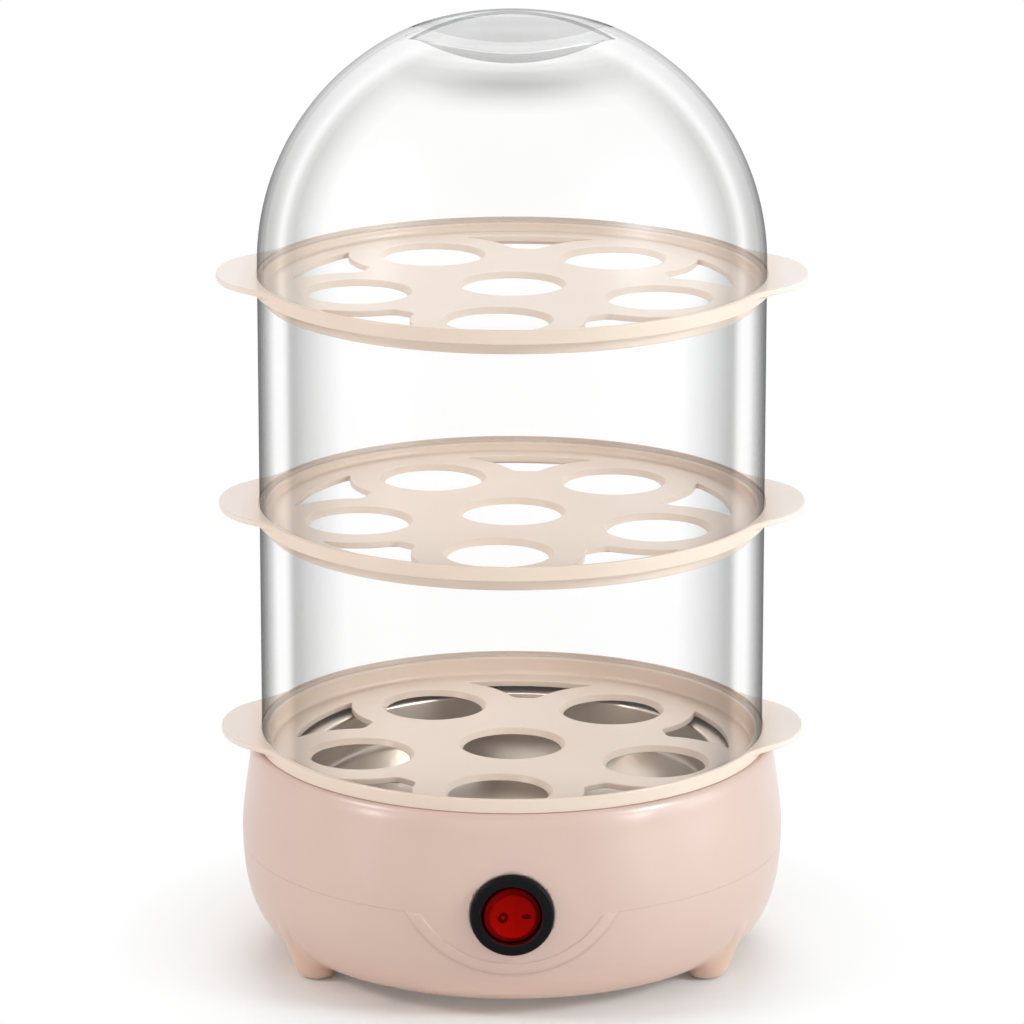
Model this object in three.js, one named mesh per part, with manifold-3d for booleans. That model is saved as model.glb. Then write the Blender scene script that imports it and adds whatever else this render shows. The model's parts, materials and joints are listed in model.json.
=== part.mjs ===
// Three-tier steam cooker: a base with a heated water dish and a rocker switch, three trays with
// round seats, two clear walls between them and a clear dome on top.
// Millimetres, +Z up, front towards -Y. The origin lies on the table, on the axis of the trays.
import * as THREE from 'three';
import { mergeVertices } from 'three/addons/utils/BufferGeometryUtils.js';
import Module from 'manifold-3d';

const wasm = await Module();
wasm.setup();

// Values that several pieces share
const fitGap = 0.3; // clearance between pieces that seat on or slide into each other
const overrun = 2; // how far a cut runs past the material
const bodySides = 32; // sides of the large round pieces
const seatSides = 12; // sides of the seat holes
const filletSteps = 2; // steps round a window's corner
const smallSides = 10; // sides of screws, pins and bosses
const curveSteps = 3; // steps on each curve of an outline

// Clear walls and dome
const clearRadius = 80; // outside of the clear walls
const clearWall = 1.8;
const tierPitch = 74; // rim to rim
const domeFootLength = 4.2; // straight part under the half sphere
const domeSteps = 9; // steps from the straight part to the top, outside
const domeInsideSteps = 6;

// Finger pockets of the dome, in plan from the axis
// The shares are of the dome's outside radius.
const pocketReachShare = 0.385; // half length between the two tips
const pocketTipShare = 0.1312; // how far in front of the axis the tips lie
const pocketBackShare = 0.0375; // back edge at the middle, half the ridge between the pockets
const pocketFrontShare = 0.4; // front edge at the middle
const pocketFloorShare = 0.8625; // lowest line of the floor above the half sphere's centre
const pocketBowShare = 1.47; // radius of the floor's bow, which runs out at the tips
const pocketTipGrowShare = 1.5; // the skin's growth at the tips, times the wall
const pocketSteps = 7;
const pocketBowSides = 64;

// Trays
const lowRimHeight = 73.2; // top of the lowest rim above the table
const rimLip = 1; // wall of the rim outside the step for a clear wall
const rimLedge = 0.6; // how far the step reaches inside a clear wall
const rimBand = 4.3; // height of the rim's outside face
const rimEdge = 0.7; // chamfer of the rim's outside edges
const rebateDepth = 1.5; // the step that a clear wall stands in
const skirtWall = 1.5;
const skirtDrop = 8.3; // lower edge of an upper tray's skirt below its rim
const floorThick = 2;
const floorDrop = 4; // floor below the rim, upper trays
const lowFloorDrop = 7; // floor below the rim, lowest tray
const seatCount = 5; // seats round the one in the middle
const seatPitchShare = 0.638; // middle seat to outer seat, of the rim's inside radius
const firstSeatAngle = -95; // degrees from +X
const seatRadius = 15.5; // at the underside
const seatTopRadius = 17;
const landShare = 0.5454; // flat land round each outer seat, of the pitch
const windowStart = 1; // inside edge of a window beyond the middle of the outer seats
const windowMargin = 8.1; // outside edge of a window to the rim's inside
const windowCorner = 2.4; // how far a corner's fillet reaches along its sides
const windowCornerMostShare = 0.33; // most of a side that a fillet may take
const earSet = 5.3; // centre of the ear's oval inside the rim's outside
const earReach = 16.9; // centre of the oval to its tip
const earWidthShare = 0.32; // half width, of the rim's outside radius
const earThick = 2;
const earBlendAngle = 26; // degrees from the ear's middle, where the blend leaves the rim
const earOvalAngle = 50; // parameter angle on the oval, where the blend ends
const earBlendPull = 8; // length of the blend's handle at the rim
const earOvalPull = 7; // length of the blend's handle at the oval
const earRootShare = 0.5; // share of the rim's lip that the ear's root goes into

// Outside of the base
const bellyBulge = 5.2; // widest place, outside the rim
const bellyHeightShare = 0.5831; // height of the widest place, of the base's top edge
const bottomHeight = 3; // underside above the table
const bottomInset = 26.5; // from the widest place in to the flat part of the underside
const shoulderStep = 2.2; // end of the flank and start of the rounded top edge, outside the rim
const shoulderDrop = 2.4; // from the top edge down to that place
const flankLowPullShare = 0.68;
const flankRisePullShare = 0.27;
const flankTopPullShare = 0.3;
const shoulderLeanShare = 0.25;
const shoulderPullShare = 0.25;
const lowFlankSteps = 6;
const highFlankSteps = 3;
const insideSteps = 4;
const shoulderSteps = 2;
const baseWall = 2.2;

// Part line of the base, which dips in an arc under the switch
const seamDrop = 3.5; // below the widest place
const seamDip = 19.6; // depth of the arc at its middle
const seamHalfChord = 33;
const seamSteps = 12;

// Shelf in the base that carries the plate
const shelfDrop = 14.2; // below the lowest rim
const shelfThick = 2;
const shelfLip = 0.5; // how far the shelf reaches inside the gasket

// Feet, moulded on the lower housing
const footCount = 3;
const firstFootAngle = -30;
const footSet = 11; // middle of a sole outside the flat part of the underside
const footSoleRadius = 4.6;
const footLowRadius = 6.6;
const footLowHeight = 4;
const footHighRadius = 8.8;
const footHighHeight = 20;
const footLean = 0.27; // outward shift for each unit of height
const footCapSteps = 3;
const footSides = 12;
const padRadius = 3.6;
const padThick = 1.2;
const padStand = 0.4; // how far a pad stands below the sole
const footRound = 1.7; // height of the rounding above the sole
const footSwell = 0.6; // how far the rounding bulges

// Bosses and screws that join the two housings
const bossCount = 3;
const bossSet = 11; // outside the flat part of the underside
const firstBossAngle = 0;
const bossRadius = 4.6;
const bossLength = 14; // from the shelf down to where the upper and the lower bosses meet
const wellRadius = 3.4;
const wellTop = 16;
const screwRadius = 1.5;
const screwHeadRadius = 2.9;
const screwHeadHeight = 2.2;
const screwGrip = 8; // length in the upper boss
const screwEndRoom = 2;

// Heating plate with its dish, studs and gasket
const plateThick = 1.2;
const dishRoom = 5.5; // the dish's floor to the shelf, all round
const dishDraft = 0.8; // how much wider the dish is at its top
const dishSink = 9; // the dish's floor below the shelf
const dishRound = 3;
const flangeRoom = 1.4; // the plate's edge to the mouth of the base
const gasketThick = 2.3;
const gasketWidth = 8.5;
const studCount = 3;
const studInset = 4; // studs to the plate's edge
const firstStudAngle = 60;
const studRadius = 1.8;
const studLength = 11;
const nutRadius = 3.6;
const nutHeight = 3;
const nutSides = 6;

// Heating element under the dish
const elementRingShare = 0.693; // of the dish's radius
const elementRadius = 3.3;
const elementOpenAngle = 50; // degrees left open at the back
const elementTailShare = 0.28; // how far the ends run down, of the dish floor's height
const elementBendRadius = 6;
const elementSides = 8;
const elementSteps = 26;
const elementTurns = 12; // stretches of the open ring
const elementBendSteps = 2;

// Thermostat with its strap, under the middle of the dish
const thermostatRadius = 8.5;
const thermostatHeight = 8;
const bladeWidth = 6.3;
const bladeThick = 0.8;
const bladeLength = 8;
const bladeSet = 6.2; // from the axis of the piece to the blades
const strapLength = 46;
const strapWidth = 7;
const strapThick = 1;
const strapStud = 18; // studs to the axis

// Thermal fuse and its clip
const fuseRadius = 2.2;
const fuseLength = 15;
const fuseSet = 25; // behind the axis
const clipWidth = 6;
const clipThick = 0.8;
const clipTab = 5;

// Terminal block
const blockLength = 32;
const blockDepth = 15;
const blockHeightShare = 0.22; // of the dish floor's height
const blockSetShare = 0.8; // behind the axis, of the flat underside's radius
const blockHoleRadius = 2;
const blockPoles = 3;
const blockPolePitch = 10;

// Cord inlet grommet at the back
const inletHeightShare = 0.6875; // of the height of the widest place
const inletFlangeRadius = 7.5;
const inletNeckRadius = 5.6;
const inletBoreRadius = 3.6;
const inletFlangeThick = 2;
const inletSink = 1.3; // flat that the grommet's flange seats on, inside the widest place
const inletGrip = 4; // wall between the two flanges

// Round rocker switch
const switchDrop = 2.6; // below the widest place
const switchSink = 1.3; // flat that the bezel seats on, inside the widest place
const switchSides = 16;
const bezelRadius = 13;
const bezelThick = 2.2;
const bezelEdge = 0.8;
const barrelRadius = 11;
const barrelLength = 17;
const rockerWellRadius = 9.4;
const rockerWellDepth = 10;
const padBackRadius = 15; // thickened ring inside the housing
const padBackThick = 4.4;
const lugReach = 0.9;
const lugWidth = 5;
const lugLength = 4;
const rockerRadius = 8.8;
const rockerThrow = 16; // degrees from one side to the other
const rockerSet = 2.4; // pivot behind the bezel's front face
const rockerKeel = 5.5; // how deep the rocker's rounded back reaches behind the pivot
const rockerPinRadius = 1.2;
const rockerPinReach = 10.2;
const terminalSet = 4.6; // terminals to the switch's axis
const terminalWidth = 4.8;
const terminalThick = 0.8;
const terminalLength = 8;
const terminalRoot = 2.5; // length of a terminal inside the barrel

// Internal leads
const leadRadius = 1.1;
const leadSides = 8;
const leadSteps = 11;
const leadEndGap = 0.4;
const leadStartLength = 4.4; // straight part at each end
const leadSagDepth = 8.8;
const leadLoopLength = 17.6; // how far the right switch lead loops forward
const leadSwingWidth = 26.4; // how far the left switch lead keeps aside of its pole
const leadTuckWidth = 22; // the same beside the block

// Places worked out from the sizes above
const clearInner = clearRadius - clearWall;
const rebateRadius = clearRadius + fitGap;
const rimRadius = rebateRadius + rimLip;
const rimInnerRadius = clearInner - rimLedge;
const rimHeights = [lowRimHeight, lowRimHeight + tierPitch, lowRimHeight + tierPitch + tierPitch];
const topRimHeight = rimHeights[rimHeights.length - 1];
const upperSkirtRadius = clearInner - fitGap;
const lowSkirtRadius = rimInnerRadius + skirtWall;
const seatPitch = rimInnerRadius * seatPitchShare;
const landRadius = seatPitch * landShare;
const windowInnerRadius = seatPitch + windowStart;
const windowOuterRadius = rimInnerRadius - windowMargin;
const earCentre = rimRadius - earSet;
const earHalfWidth = rimRadius * earWidthShare;
const pocketTipReach = clearRadius * pocketReachShare;
const pocketTipSet = clearRadius * pocketTipShare;
const pocketBackSet = clearRadius * pocketBackShare;
const pocketFrontSet = clearRadius * pocketFrontShare;
const pocketFloorHeight = clearRadius * pocketFloorShare;
const pocketBowRadius = clearRadius * pocketBowShare;
const baseTop = lowRimHeight - rimBand - fitGap;
const mouthRadius = lowSkirtRadius + fitGap;
const bellyRadius = rimRadius + bellyBulge;
const bellyHeight = baseTop * bellyHeightShare;
const shoulderRadius = rimRadius + shoulderStep;
const bottomRadius = bellyRadius - bottomInset;
const seamHeight = bellyHeight - seamDrop;
const footRing = bottomRadius + footSet;
const bossRing = bottomRadius + bossSet;
const flangeRadius = mouthRadius - flangeRoom;
const studRing = flangeRadius - studInset;
const gasketInnerRadius = flangeRadius - gasketWidth;
const shelfInnerRadius = gasketInnerRadius - shelfLip;
const shelfTop = lowRimHeight - shelfDrop;
const bossPlane = shelfTop - bossLength;
const dishRadius = shelfInnerRadius - dishRoom;
const dishFloorHeight = shelfTop - dishSink;
const elementRing = dishRadius * elementRingShare;
const elementTail = dishFloorHeight * elementTailShare;
const blockHeight = dishFloorHeight * blockHeightShare;
const blockSet = bottomRadius * blockSetShare;
const inletHeight = bellyHeight * inletHeightShare;
const inletFace = bellyRadius - inletSink;
const switchHeight = bellyHeight - switchDrop;
const switchFace = bellyRadius - switchSink;
const domeFoot = topRimHeight - rebateDepth + fitGap;
const domeCentre = domeFoot + domeFootLength;
const flangeBottom = shelfTop + gasketThick + fitGap + fitGap;
const dishBottom = dishFloorHeight - plateThick;
const underDish = dishBottom - fitGap;
const bottomInside = bottomHeight + baseWall;
const soleHeight = padStand;
const switchFront = switchFace + fitGap + bezelThick;
const rockerPivot = switchFront - rockerSet;

const toRadians = THREE.MathUtils.degToRad;
const point2 = (x, y) => new THREE.Vector2(x, y);
const polar = (radius, degrees) => point2(
  radius * Math.cos(toRadians(degrees)),
  radius * Math.sin(toRadians(degrees)),
);

// Turns a closed geometry into a solid for joining and cutting.
function solid(geometry) {
  const plain = geometry.clone();
  for (const name of ['normal', 'uv']) plain.deleteAttribute(name);
  const merged = mergeVertices(plain);
  const corners = merged.index.array;
  const kept = [];
  for (let i = 0; i < corners.length; i += 3) {
    const [a, b, c] = [corners[i], corners[i + 1], corners[i + 2]];
    if (a !== b && b !== c && c !== a) kept.push(a, b, c);
  }
  return new wasm.Manifold(new wasm.Mesh({
    numProp: 3,
    vertProperties: new Float32Array(merged.attributes.position.array),
    triVerts: new Uint32Array(kept),
  }));
}

// Turns a solid back into a geometry.
function geometryOf(body) {
  const mesh = body.getMesh();
  const geometry = new THREE.BufferGeometry();
  const positions = new THREE.Float32BufferAttribute(mesh.vertProperties, mesh.numProp);
  geometry.setAttribute('position', positions);
  geometry.setIndex(new THREE.Uint32BufferAttribute(mesh.triVerts, 1));
  geometry.computeVertexNormals();
  return geometry;
}

const joined = (...bodies) => bodies.reduce((sum, body) => sum.add(body));
const cut = (body, ...tools) => tools.reduce((rest, tool) => rest.subtract(tool), body);

// Y up to Z up, with whole numbers only, so that equal heights stay equal.
const standUp = new THREE.Matrix4().set(1, 0, 0, 0, 0, 0, -1, 0, 0, 1, 0, 0, 0, 0, 0, 1);
// The same quarter turn lays a standing piece forward, along -Y.
const layForward = standUp;
// Z up to pointing back, along +Y.
const layBack = new THREE.Matrix4().set(-1, 0, 0, 0, 0, 0, 1, 0, 0, 1, 0, 0, 0, 0, 0, 1);

// Revolves an outline of radius and height about the Z axis.
function revolved(outline, sides = bodySides) {
  const geometry = new THREE.LatheGeometry(outline, sides).applyMatrix4(standUp);
  const body = solid(geometry);
  return body.volume() < 0 ? solid(flipped(geometry)) : body;
}

// The same geometry with its faces turned over.
function flipped(geometry) {
  const copy = geometry.clone();
  const index = copy.index.array;
  for (let i = 0; i < index.length; i += 3) {
    [index[i], index[i + 1]] = [index[i + 1], index[i]];
  }
  return copy;
}

// A ring whose section is a closed outline.
const ring = (outline, sides) => revolved([...outline, outline[0]], sides);

// A plate with vertical sides from height low to height high.
function plate(shape, low, high, steps = curveSteps) {
  const geometry = new THREE.ExtrudeGeometry(shape, {
    depth: high - low,
    bevelEnabled: false,
    curveSegments: steps,
  });
  return solid(geometry).translate([0, 0, low]);
}

// A round outline whose corners line up with those of the revolved pieces.
const disc = (radius) => new THREE.Shape(Array.from({ length: bodySides }, (_, i) => (
  polar(radius, -90 + (360 * i) / bodySides)
)));

// A round bar along Z, or a cone where the two radii differ.
function bar(radius, low, high, sides = smallSides, topRadius = radius) {
  const geometry = new THREE.CylinderGeometry(topRadius, radius, high - low, sides);
  return solid(geometry.applyMatrix4(standUp)).translate([0, 0, (low + high) / 2]);
}

// A block between two corners.
function block(low, high) {
  const size = high.map((value, axis) => value - low[axis]);
  const middle = high.map((value, axis) => (value + low[axis]) / 2);
  return solid(new THREE.BoxGeometry(...size)).translate(middle);
}

// A copy of a solid at each of a number of equal steps round the Z axis.
function around(count, firstDegrees, radius, body) {
  return Array.from({ length: count }, (_, i) => {
    const degrees = firstDegrees + (360 * i) / count;
    const place = polar(radius, degrees);
    return body.translate([place.x, place.y, 0]);
  });
}

// An arc from one end to its mirror image in the YZ plane, through a place on that plane.
function bow(path, endX, endY, middleY) {
  path.quadraticCurveTo(0, middleY * 2 - endY, endX, endY);
}

// Materials
const plastic = (color, roughness) => new THREE.MeshStandardMaterial({ color, roughness });
const metal = (color, roughness) => new THREE.MeshStandardMaterial({
  color,
  roughness,
  metalness: 1,
});
const creamPlastic = plastic(0xecd2c2, 0.35);
const clearPlastic = new THREE.MeshStandardMaterial({
  color: 0xf4f6f7,
  roughness: 0.05,
  transparent: true,
  opacity: 0.25,
});
const blackPlastic = plastic(0x1b1c20, 0.35);
const redPlastic = plastic(0xc4120e, 0.25);
const steel = metal(0xc9c8c6, 0.3);
const brass = metal(0xc8a860, 0.35);
const rubber = plastic(0xe9e4de, 0.8);
const darkRubber = plastic(0x2a2a2c, 0.7);
const ceramicWhite = plastic(0xf0eee8, 0.5);
const leadSleeve = plastic(0xd8d4cc, 0.6);

// Trays

// The tray's ring: lip, rebate for the wall above, outside band and skirt.
function trayRing(rim, skirtRadius, skirtBottom, floorTop) {
  const bandBottom = rim - rimBand;
  const inner = skirtRadius - skirtWall;
  return ring([
    point2(inner, skirtBottom),
    point2(skirtRadius, skirtBottom),
    point2(skirtRadius, bandBottom),
    point2(rimRadius - rimEdge, bandBottom),
    point2(rimRadius, bandBottom + rimEdge),
    point2(rimRadius, rim - rimEdge),
    point2(rimRadius - rimEdge, rim),
    point2(rebateRadius, rim),
    point2(rebateRadius, rim - rebateDepth),
    point2(rimInnerRadius, rim - rebateDepth),
    point2(rimInnerRadius, floorTop),
    point2(inner, floorTop),
  ]);
}

// Where a circle of the given radius about the axis meets the land of the next seat, as an angle
// from the middle of the window between two seats.
function windowAngle(radius) {
  const toLand = (radius ** 2 + seatPitch ** 2 - landRadius ** 2) / (2 * radius * seatPitch);
  return 180 / seatCount - THREE.MathUtils.radToDeg(Math.acos(toLand));
}

// One steam window between two outer seats: two arcs about the axis, and two along the lands,
// with filleted corners.
function windowPath(middle) {
  const [inner, outer] = [windowInnerRadius, windowOuterRadius].map(windowAngle);
  const corners = [
    polar(windowInnerRadius, middle - inner),
    polar(windowOuterRadius, middle - outer),
    polar(windowOuterRadius, middle + outer),
    polar(windowInnerRadius, middle + inner),
  ];
  const seats = [-1, 1].map((side) => polar(seatPitch, middle + (side * 180) / seatCount));
  const axis = point2(0, 0);
  const centres = [seats[0], axis, seats[1], axis];
  // A side runs along the arc about its centre between two corners, short of both fillets.
  const sides = corners.map((corner, i) => {
    const centre = centres[i];
    const end = corners[(i + 1) % corners.length];
    const from = corner.clone().sub(centre);
    const to = end.clone().sub(centre);
    const turn = Math.atan2(from.cross(to), from.dot(to));
    const most = Math.abs(turn) * windowCornerMostShare;
    const trim = Math.sign(turn) * Math.min(windowCorner / from.length(), most);
    return Array.from({ length: curveSteps }, (_, k) => {
      const angle = trim + ((turn - 2 * trim) * k) / (curveSteps - 1);
      return from.clone().rotateAround(axis, angle).add(centre);
    });
  });
  const places = sides.flatMap((side, i) => {
    const corner = corners[(i + 1) % corners.length];
    const next = sides[(i + 1) % sides.length][0];
    const fillet = new THREE.QuadraticBezierCurve(side[curveSteps - 1], corner, next);
    return [...side, ...fillet.getPoints(filletSteps).slice(1, -1)];
  });
  return new THREE.Path(places);
}

// The tray's floor with its windows.
function trayFloor(top, radius) {
  const shape = disc(radius);
  for (let i = 0; i < seatCount; i += 1) {
    shape.holes.push(windowPath(firstSeatAngle + (360 * (i + 0.5)) / seatCount));
  }
  return plate(shape, top - floorThick, top);
}

// Conical seat holes, one in the middle and the others round it.
function seatTools(top) {
  const low = top - floorThick;
  const slope = (seatTopRadius - seatRadius) / floorThick;
  const spread = slope * overrun;
  const [narrow, wide] = [seatRadius - spread, seatTopRadius + spread];
  const tool = bar(narrow, low - overrun, top + overrun, seatSides, wide);
  return [tool, ...around(seatCount, firstSeatAngle, seatPitch, tool)];
}

// One ear on the +X side: an oval that flows into the rim.
function ear(top) {
  const root = rimRadius - (rimRadius - rebateRadius) * earRootShare;
  const start = polar(rimRadius, -earBlendAngle);
  const along = polar(earBlendPull, 90 - earBlendAngle);
  const turn = toRadians(earOvalAngle);
  const meet = point2(earCentre + earReach * Math.cos(turn), -earHalfWidth * Math.sin(turn));
  const leave = point2(earReach * Math.sin(turn), earHalfWidth * Math.cos(turn));
  leave.setLength(earOvalPull);
  const rootEnd = polar(root, -earBlendAngle);
  const shape = new THREE.Shape();
  shape.moveTo(rootEnd.x, rootEnd.y);
  shape.lineTo(start.x, start.y);
  shape.bezierCurveTo(
    start.x + along.x, start.y + along.y,
    meet.x - leave.x, meet.y - leave.y,
    meet.x, meet.y,
  );
  shape.absellipse(earCentre, 0, earReach, earHalfWidth, -turn, turn, false, 0);
  shape.bezierCurveTo(
    meet.x - leave.x, leave.y - meet.y,
    start.x + along.x, -start.y - along.y,
    start.x, -start.y,
  );
  shape.lineTo(rootEnd.x, -rootEnd.y);
  shape.absarc(0, 0, root, toRadians(earBlendAngle), -toRadians(earBlendAngle), true);
  return plate(shape, top - earThick, top, curveSteps * 2);
}

function tray(rim, drop, skirtRadius, skirtBottom) {
  const floorTop = rim - drop;
  const floorRadius = skirtRadius - skirtWall / 2;
  const body = joined(
    trayRing(rim, skirtRadius, skirtBottom, floorTop),
    trayFloor(floorTop, floorRadius),
    ear(rim),
    ear(rim).rotate([0, 0, 180]),
  );
  return cut(body, ...seatTools(floorTop));
}

// Clear walls and dome

function clearTube(low, high) {
  return ring([
    point2(clearInner, low),
    point2(clearRadius, low),
    point2(clearRadius, high),
    point2(clearInner, high),
  ]);
}

// The dome's outline as a full body of the given radius, from its foot to its top.
function domeBlank(radius, foot, steps) {
  const outline = [point2(0, foot), point2(radius, foot)];
  for (let i = 0; i < steps; i += 1) {
    const turn = (90 * i) / steps;
    const place = polar(radius, turn);
    outline.push(point2(place.x, domeCentre + place.y));
  }
  outline.push(point2(0, domeCentre + radius));
  return revolved(outline);
}

// A half-moon finger pocket in front of the axis, with a floor that bows up to the two tips.
// For the inside it is grown on all sides by the skin.
function fingerPocket(grow) {
  const tip = pocketTipReach + grow * pocketTipGrowShare;
  const [set, back, front] = [-pocketTipSet, -pocketBackSet + grow, -pocketFrontSet - grow];
  const shape = new THREE.Shape();
  shape.moveTo(-tip, set);
  bow(shape, tip, set, front);
  bow(shape, -tip, set, back);
  const floor = domeCentre + pocketFloorHeight;
  const well = plate(shape, floor - grow, domeCentre + clearRadius + overrun, pocketSteps);
  const bowl = bar(pocketBowRadius + grow, -clearRadius, clearRadius, pocketBowSides);
  const laid = bowl.transform(matrixOf(layForward));
  return well.intersect(laid.translate([0, 0, floor + pocketBowRadius]));
}

function domeCover() {
  const pockets = (grow) => {
    const front = fingerPocket(grow);
    return [front, front.rotate([0, 0, 180])];
  };
  const outer = domeBlank(clearRadius, domeFoot, domeSteps);
  const inner = domeBlank(clearInner, domeFoot - overrun, domeInsideSteps);
  const outside = cut(outer, ...pockets(0));
  const inside = cut(inner, ...pockets(clearWall));
  return cut(outside, inside);
}

// Base housings

// The base's outside, or its inside where inset is the wall: a full body of revolution.
function bodyBlank(inset) {
  const low = bottomHeight + inset;
  const [lowSteps, highSteps] = inset > 0 ? [insideSteps, 1] : [lowFlankSteps, highFlankSteps];
  const belly = point2(bellyRadius - inset, bellyHeight);
  const edge = point2(bottomRadius, low);
  const shoulder = point2(shoulderRadius - inset, baseTop - shoulderDrop);
  const lower = new THREE.CubicBezierCurve(
    edge,
    point2(edge.x + (belly.x - edge.x) * flankLowPullShare, low),
    point2(belly.x, low + (belly.y - low) * flankRisePullShare),
    belly,
  );
  const rise = shoulder.y - belly.y;
  const upper = new THREE.CubicBezierCurve(
    belly,
    point2(belly.x, belly.y + rise * flankTopPullShare),
    point2(
      shoulder.x + (belly.x - shoulder.x) * shoulderLeanShare,
      shoulder.y - rise * shoulderPullShare,
    ),
    shoulder,
  );
  const top = point2(rimRadius - inset, baseTop - inset);
  const round = new THREE.QuadraticBezierCurve(shoulder, point2(shoulder.x, top.y), top);
  return revolved([
    point2(0, low),
    ...lower.getPoints(lowSteps),
    ...upper.getPoints(highSteps).slice(1),
    ...round.getPoints(Math.min(highSteps, shoulderSteps)).slice(1),
    point2(0, top.y),
  ]);
}

// The space above the part line, with the arc that dips under the switch at the front.
// shift moves the line up or down by half the gap between the two housings.
function aboveSeam(shift) {
  const seam = seamHeight + shift;
  const arcRadius = (seamHalfChord ** 2 + seamDip ** 2) / (2 * seamDip) - shift;
  const centre = seamHeight - seamDip + arcRadius + shift;
  const half = Math.acos((centre - seam) / arcRadius);
  const shape = new THREE.Shape();
  for (let i = 0; i <= seamSteps; i += 1) {
    const turn = -half + (2 * half * i) / seamSteps;
    const [x, z] = [arcRadius * Math.sin(turn), centre - arcRadius * Math.cos(turn)];
    if (i === 0) shape.moveTo(x, z);
    else shape.lineTo(x, z);
  }
  shape.lineTo(arcRadius * Math.sin(half), seam + overrun);
  shape.lineTo(-arcRadius * Math.sin(half), seam + overrun);
  const depth = bellyRadius / 2;
  const tongue = solid(new THREE.ExtrudeGeometry(shape, { depth, bevelEnabled: false })
    .applyMatrix4(layForward)).translate([0, -depth, 0]);
  const wide = bellyRadius + overrun;
  return joined(block([-wide, -wide, seam], [wide, wide, baseTop + overrun]), tongue);
}

// A round tool that enters the base level, from the front or the back.
function levelBar(radius, near, far, height, way, sides) {
  const lying = bar(radius, near, far, sides).transform(matrixOf(way < 0 ? layForward : layBack));
  return lying.translate([0, 0, height]);
}

// The library takes a matrix column by column, as three does.
const matrixOf = (matrix) => matrix.elements;

// Shelf for the plate, with its stud holes.
function shelf() {
  const outer = bellyRadius - baseWall / 2;
  const low = shelfTop - shelfThick;
  const slab = ring([
    point2(shelfInnerRadius, low),
    point2(outer, low),
    point2(outer, shelfTop),
    point2(shelfInnerRadius, shelfTop),
  ]);
  const hole = bar(studRadius + fitGap, low - overrun, shelfTop + overrun);
  return cut(slab, ...around(studCount, firstStudAngle, studRing, hole));
}

// Bosses under the shelf that take the screws.
function upperBosses() {
  const low = bossPlane + fitGap / 2;
  const post = bar(bossRadius, low, shelfTop - shelfThick / 2);
  const hole = bar(screwRadius + fitGap, low - overrun, bossPlane + screwGrip + screwEndRoom);
  return around(bossCount, firstBossAngle, bossRing, cut(post, hole));
}

function upperHousing() {
  const shell = cut(bodyBlank(0), bodyBlank(baseWall));
  const mouth = bar(mouthRadius, shelfTop + overrun, baseTop + overrun, bodySides);
  const inside = bodyBlank(baseWall / 2);
  const padLow = switchFace - padBackThick;
  const front = (radius, near, far) => levelBar(radius, near, far, switchHeight, -1, switchSides);
  const whole = joined(
    cut(shell, mouth),
    shelf().intersect(inside),
    front(padBackRadius, padLow, bellyRadius).intersect(inside),
    ...upperBosses(),
  );
  const flat = front(bezelRadius + fitGap, switchFace, bellyRadius + overrun);
  const hole = front(barrelRadius + fitGap, padLow - overrun, bellyRadius);
  return cut(whole, flat, hole).intersect(aboveSeam(fitGap / 2));
}

// One foot: a round stub that leans outwards and fades into the flank.
function foot() {
  const low = soleHeight;
  const outline = [
    point2(0, low),
    point2(footSoleRadius, low),
    point2((footSoleRadius + footLowRadius) / 2 + footSwell, low + footRound / 2),
    point2(footLowRadius, footLowHeight),
    point2(footHighRadius, footHighHeight),
  ];
  for (let i = 1; i < footCapSteps; i += 1) {
    const place = polar(footHighRadius, (90 * i) / footCapSteps);
    outline.push(point2(place.x, footHighHeight + place.y));
  }
  outline.push(point2(0, footHighHeight + footHighRadius));
  const lean = new THREE.Matrix4().set(1, 0, footLean, 0, 0, 1, 0, 0, 0, 0, 1, 0, 0, 0, 0, 1);
  return revolved(outline, footSides).transform(matrixOf(lean)).translate([footRing, 0, 0]);
}

function feet() {
  const one = foot();
  return Array.from({ length: footCount }, (_, i) => (
    one.rotate([0, 0, firstFootAngle + (360 * i) / footCount])
  ));
}

// Columns that stand in the lower housing, and the screw wells in them.
function lowerBosses() {
  const high = bossPlane - fitGap / 2;
  return around(bossCount, firstBossAngle, bossRing, bar(bossRadius, bottomInside, high));
}

function screwWells() {
  const well = bar(wellRadius, -overrun, wellTop);
  const hole = bar(screwRadius + fitGap, wellTop - overrun, bossPlane + overrun);
  return around(bossCount, firstBossAngle, bossRing, well.add(hole));
}

function lowerHousing() {
  const outside = joined(bodyBlank(0), ...feet());
  const shell = cut(outside, bodyBlank(baseWall), aboveSeam(-fitGap / 2));
  const columns = lowerBosses().map((post) => post.intersect(bodyBlank(baseWall / 2)));
  const recess = bar(padRadius + fitGap, -overrun, padThick + fitGap);
  const recesses = around(footCount, firstFootAngle, footRing, recess);
  const inletFlat = levelBar(
    inletFlangeRadius + fitGap, inletFace, bellyRadius + overrun, inletHeight, 1, seatSides,
  );
  const inletPad = levelBar(
    inletFlangeRadius + fitGap, inletFace - inletGrip, inletFace, inletHeight, 1, seatSides,
  );
  const inletHole = levelBar(
    inletNeckRadius + fitGap, bottomRadius, bellyRadius + overrun, inletHeight, 1, seatSides,
  );
  const whole = joined(shell, ...columns, inletPad.intersect(bodyBlank(baseWall / 2)));
  return cut(whole, ...screwWells(), ...recesses, inletFlat, inletHole);
}

// A screw that joins the two housings from below.
function housingScrew() {
  const under = wellTop - fitGap;
  return joined(
    bar(screwHeadRadius, under - screwHeadHeight, under),
    bar(screwRadius, under - screwHeadHeight / 2, bossPlane + screwGrip),
  );
}

// Heating plate

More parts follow.
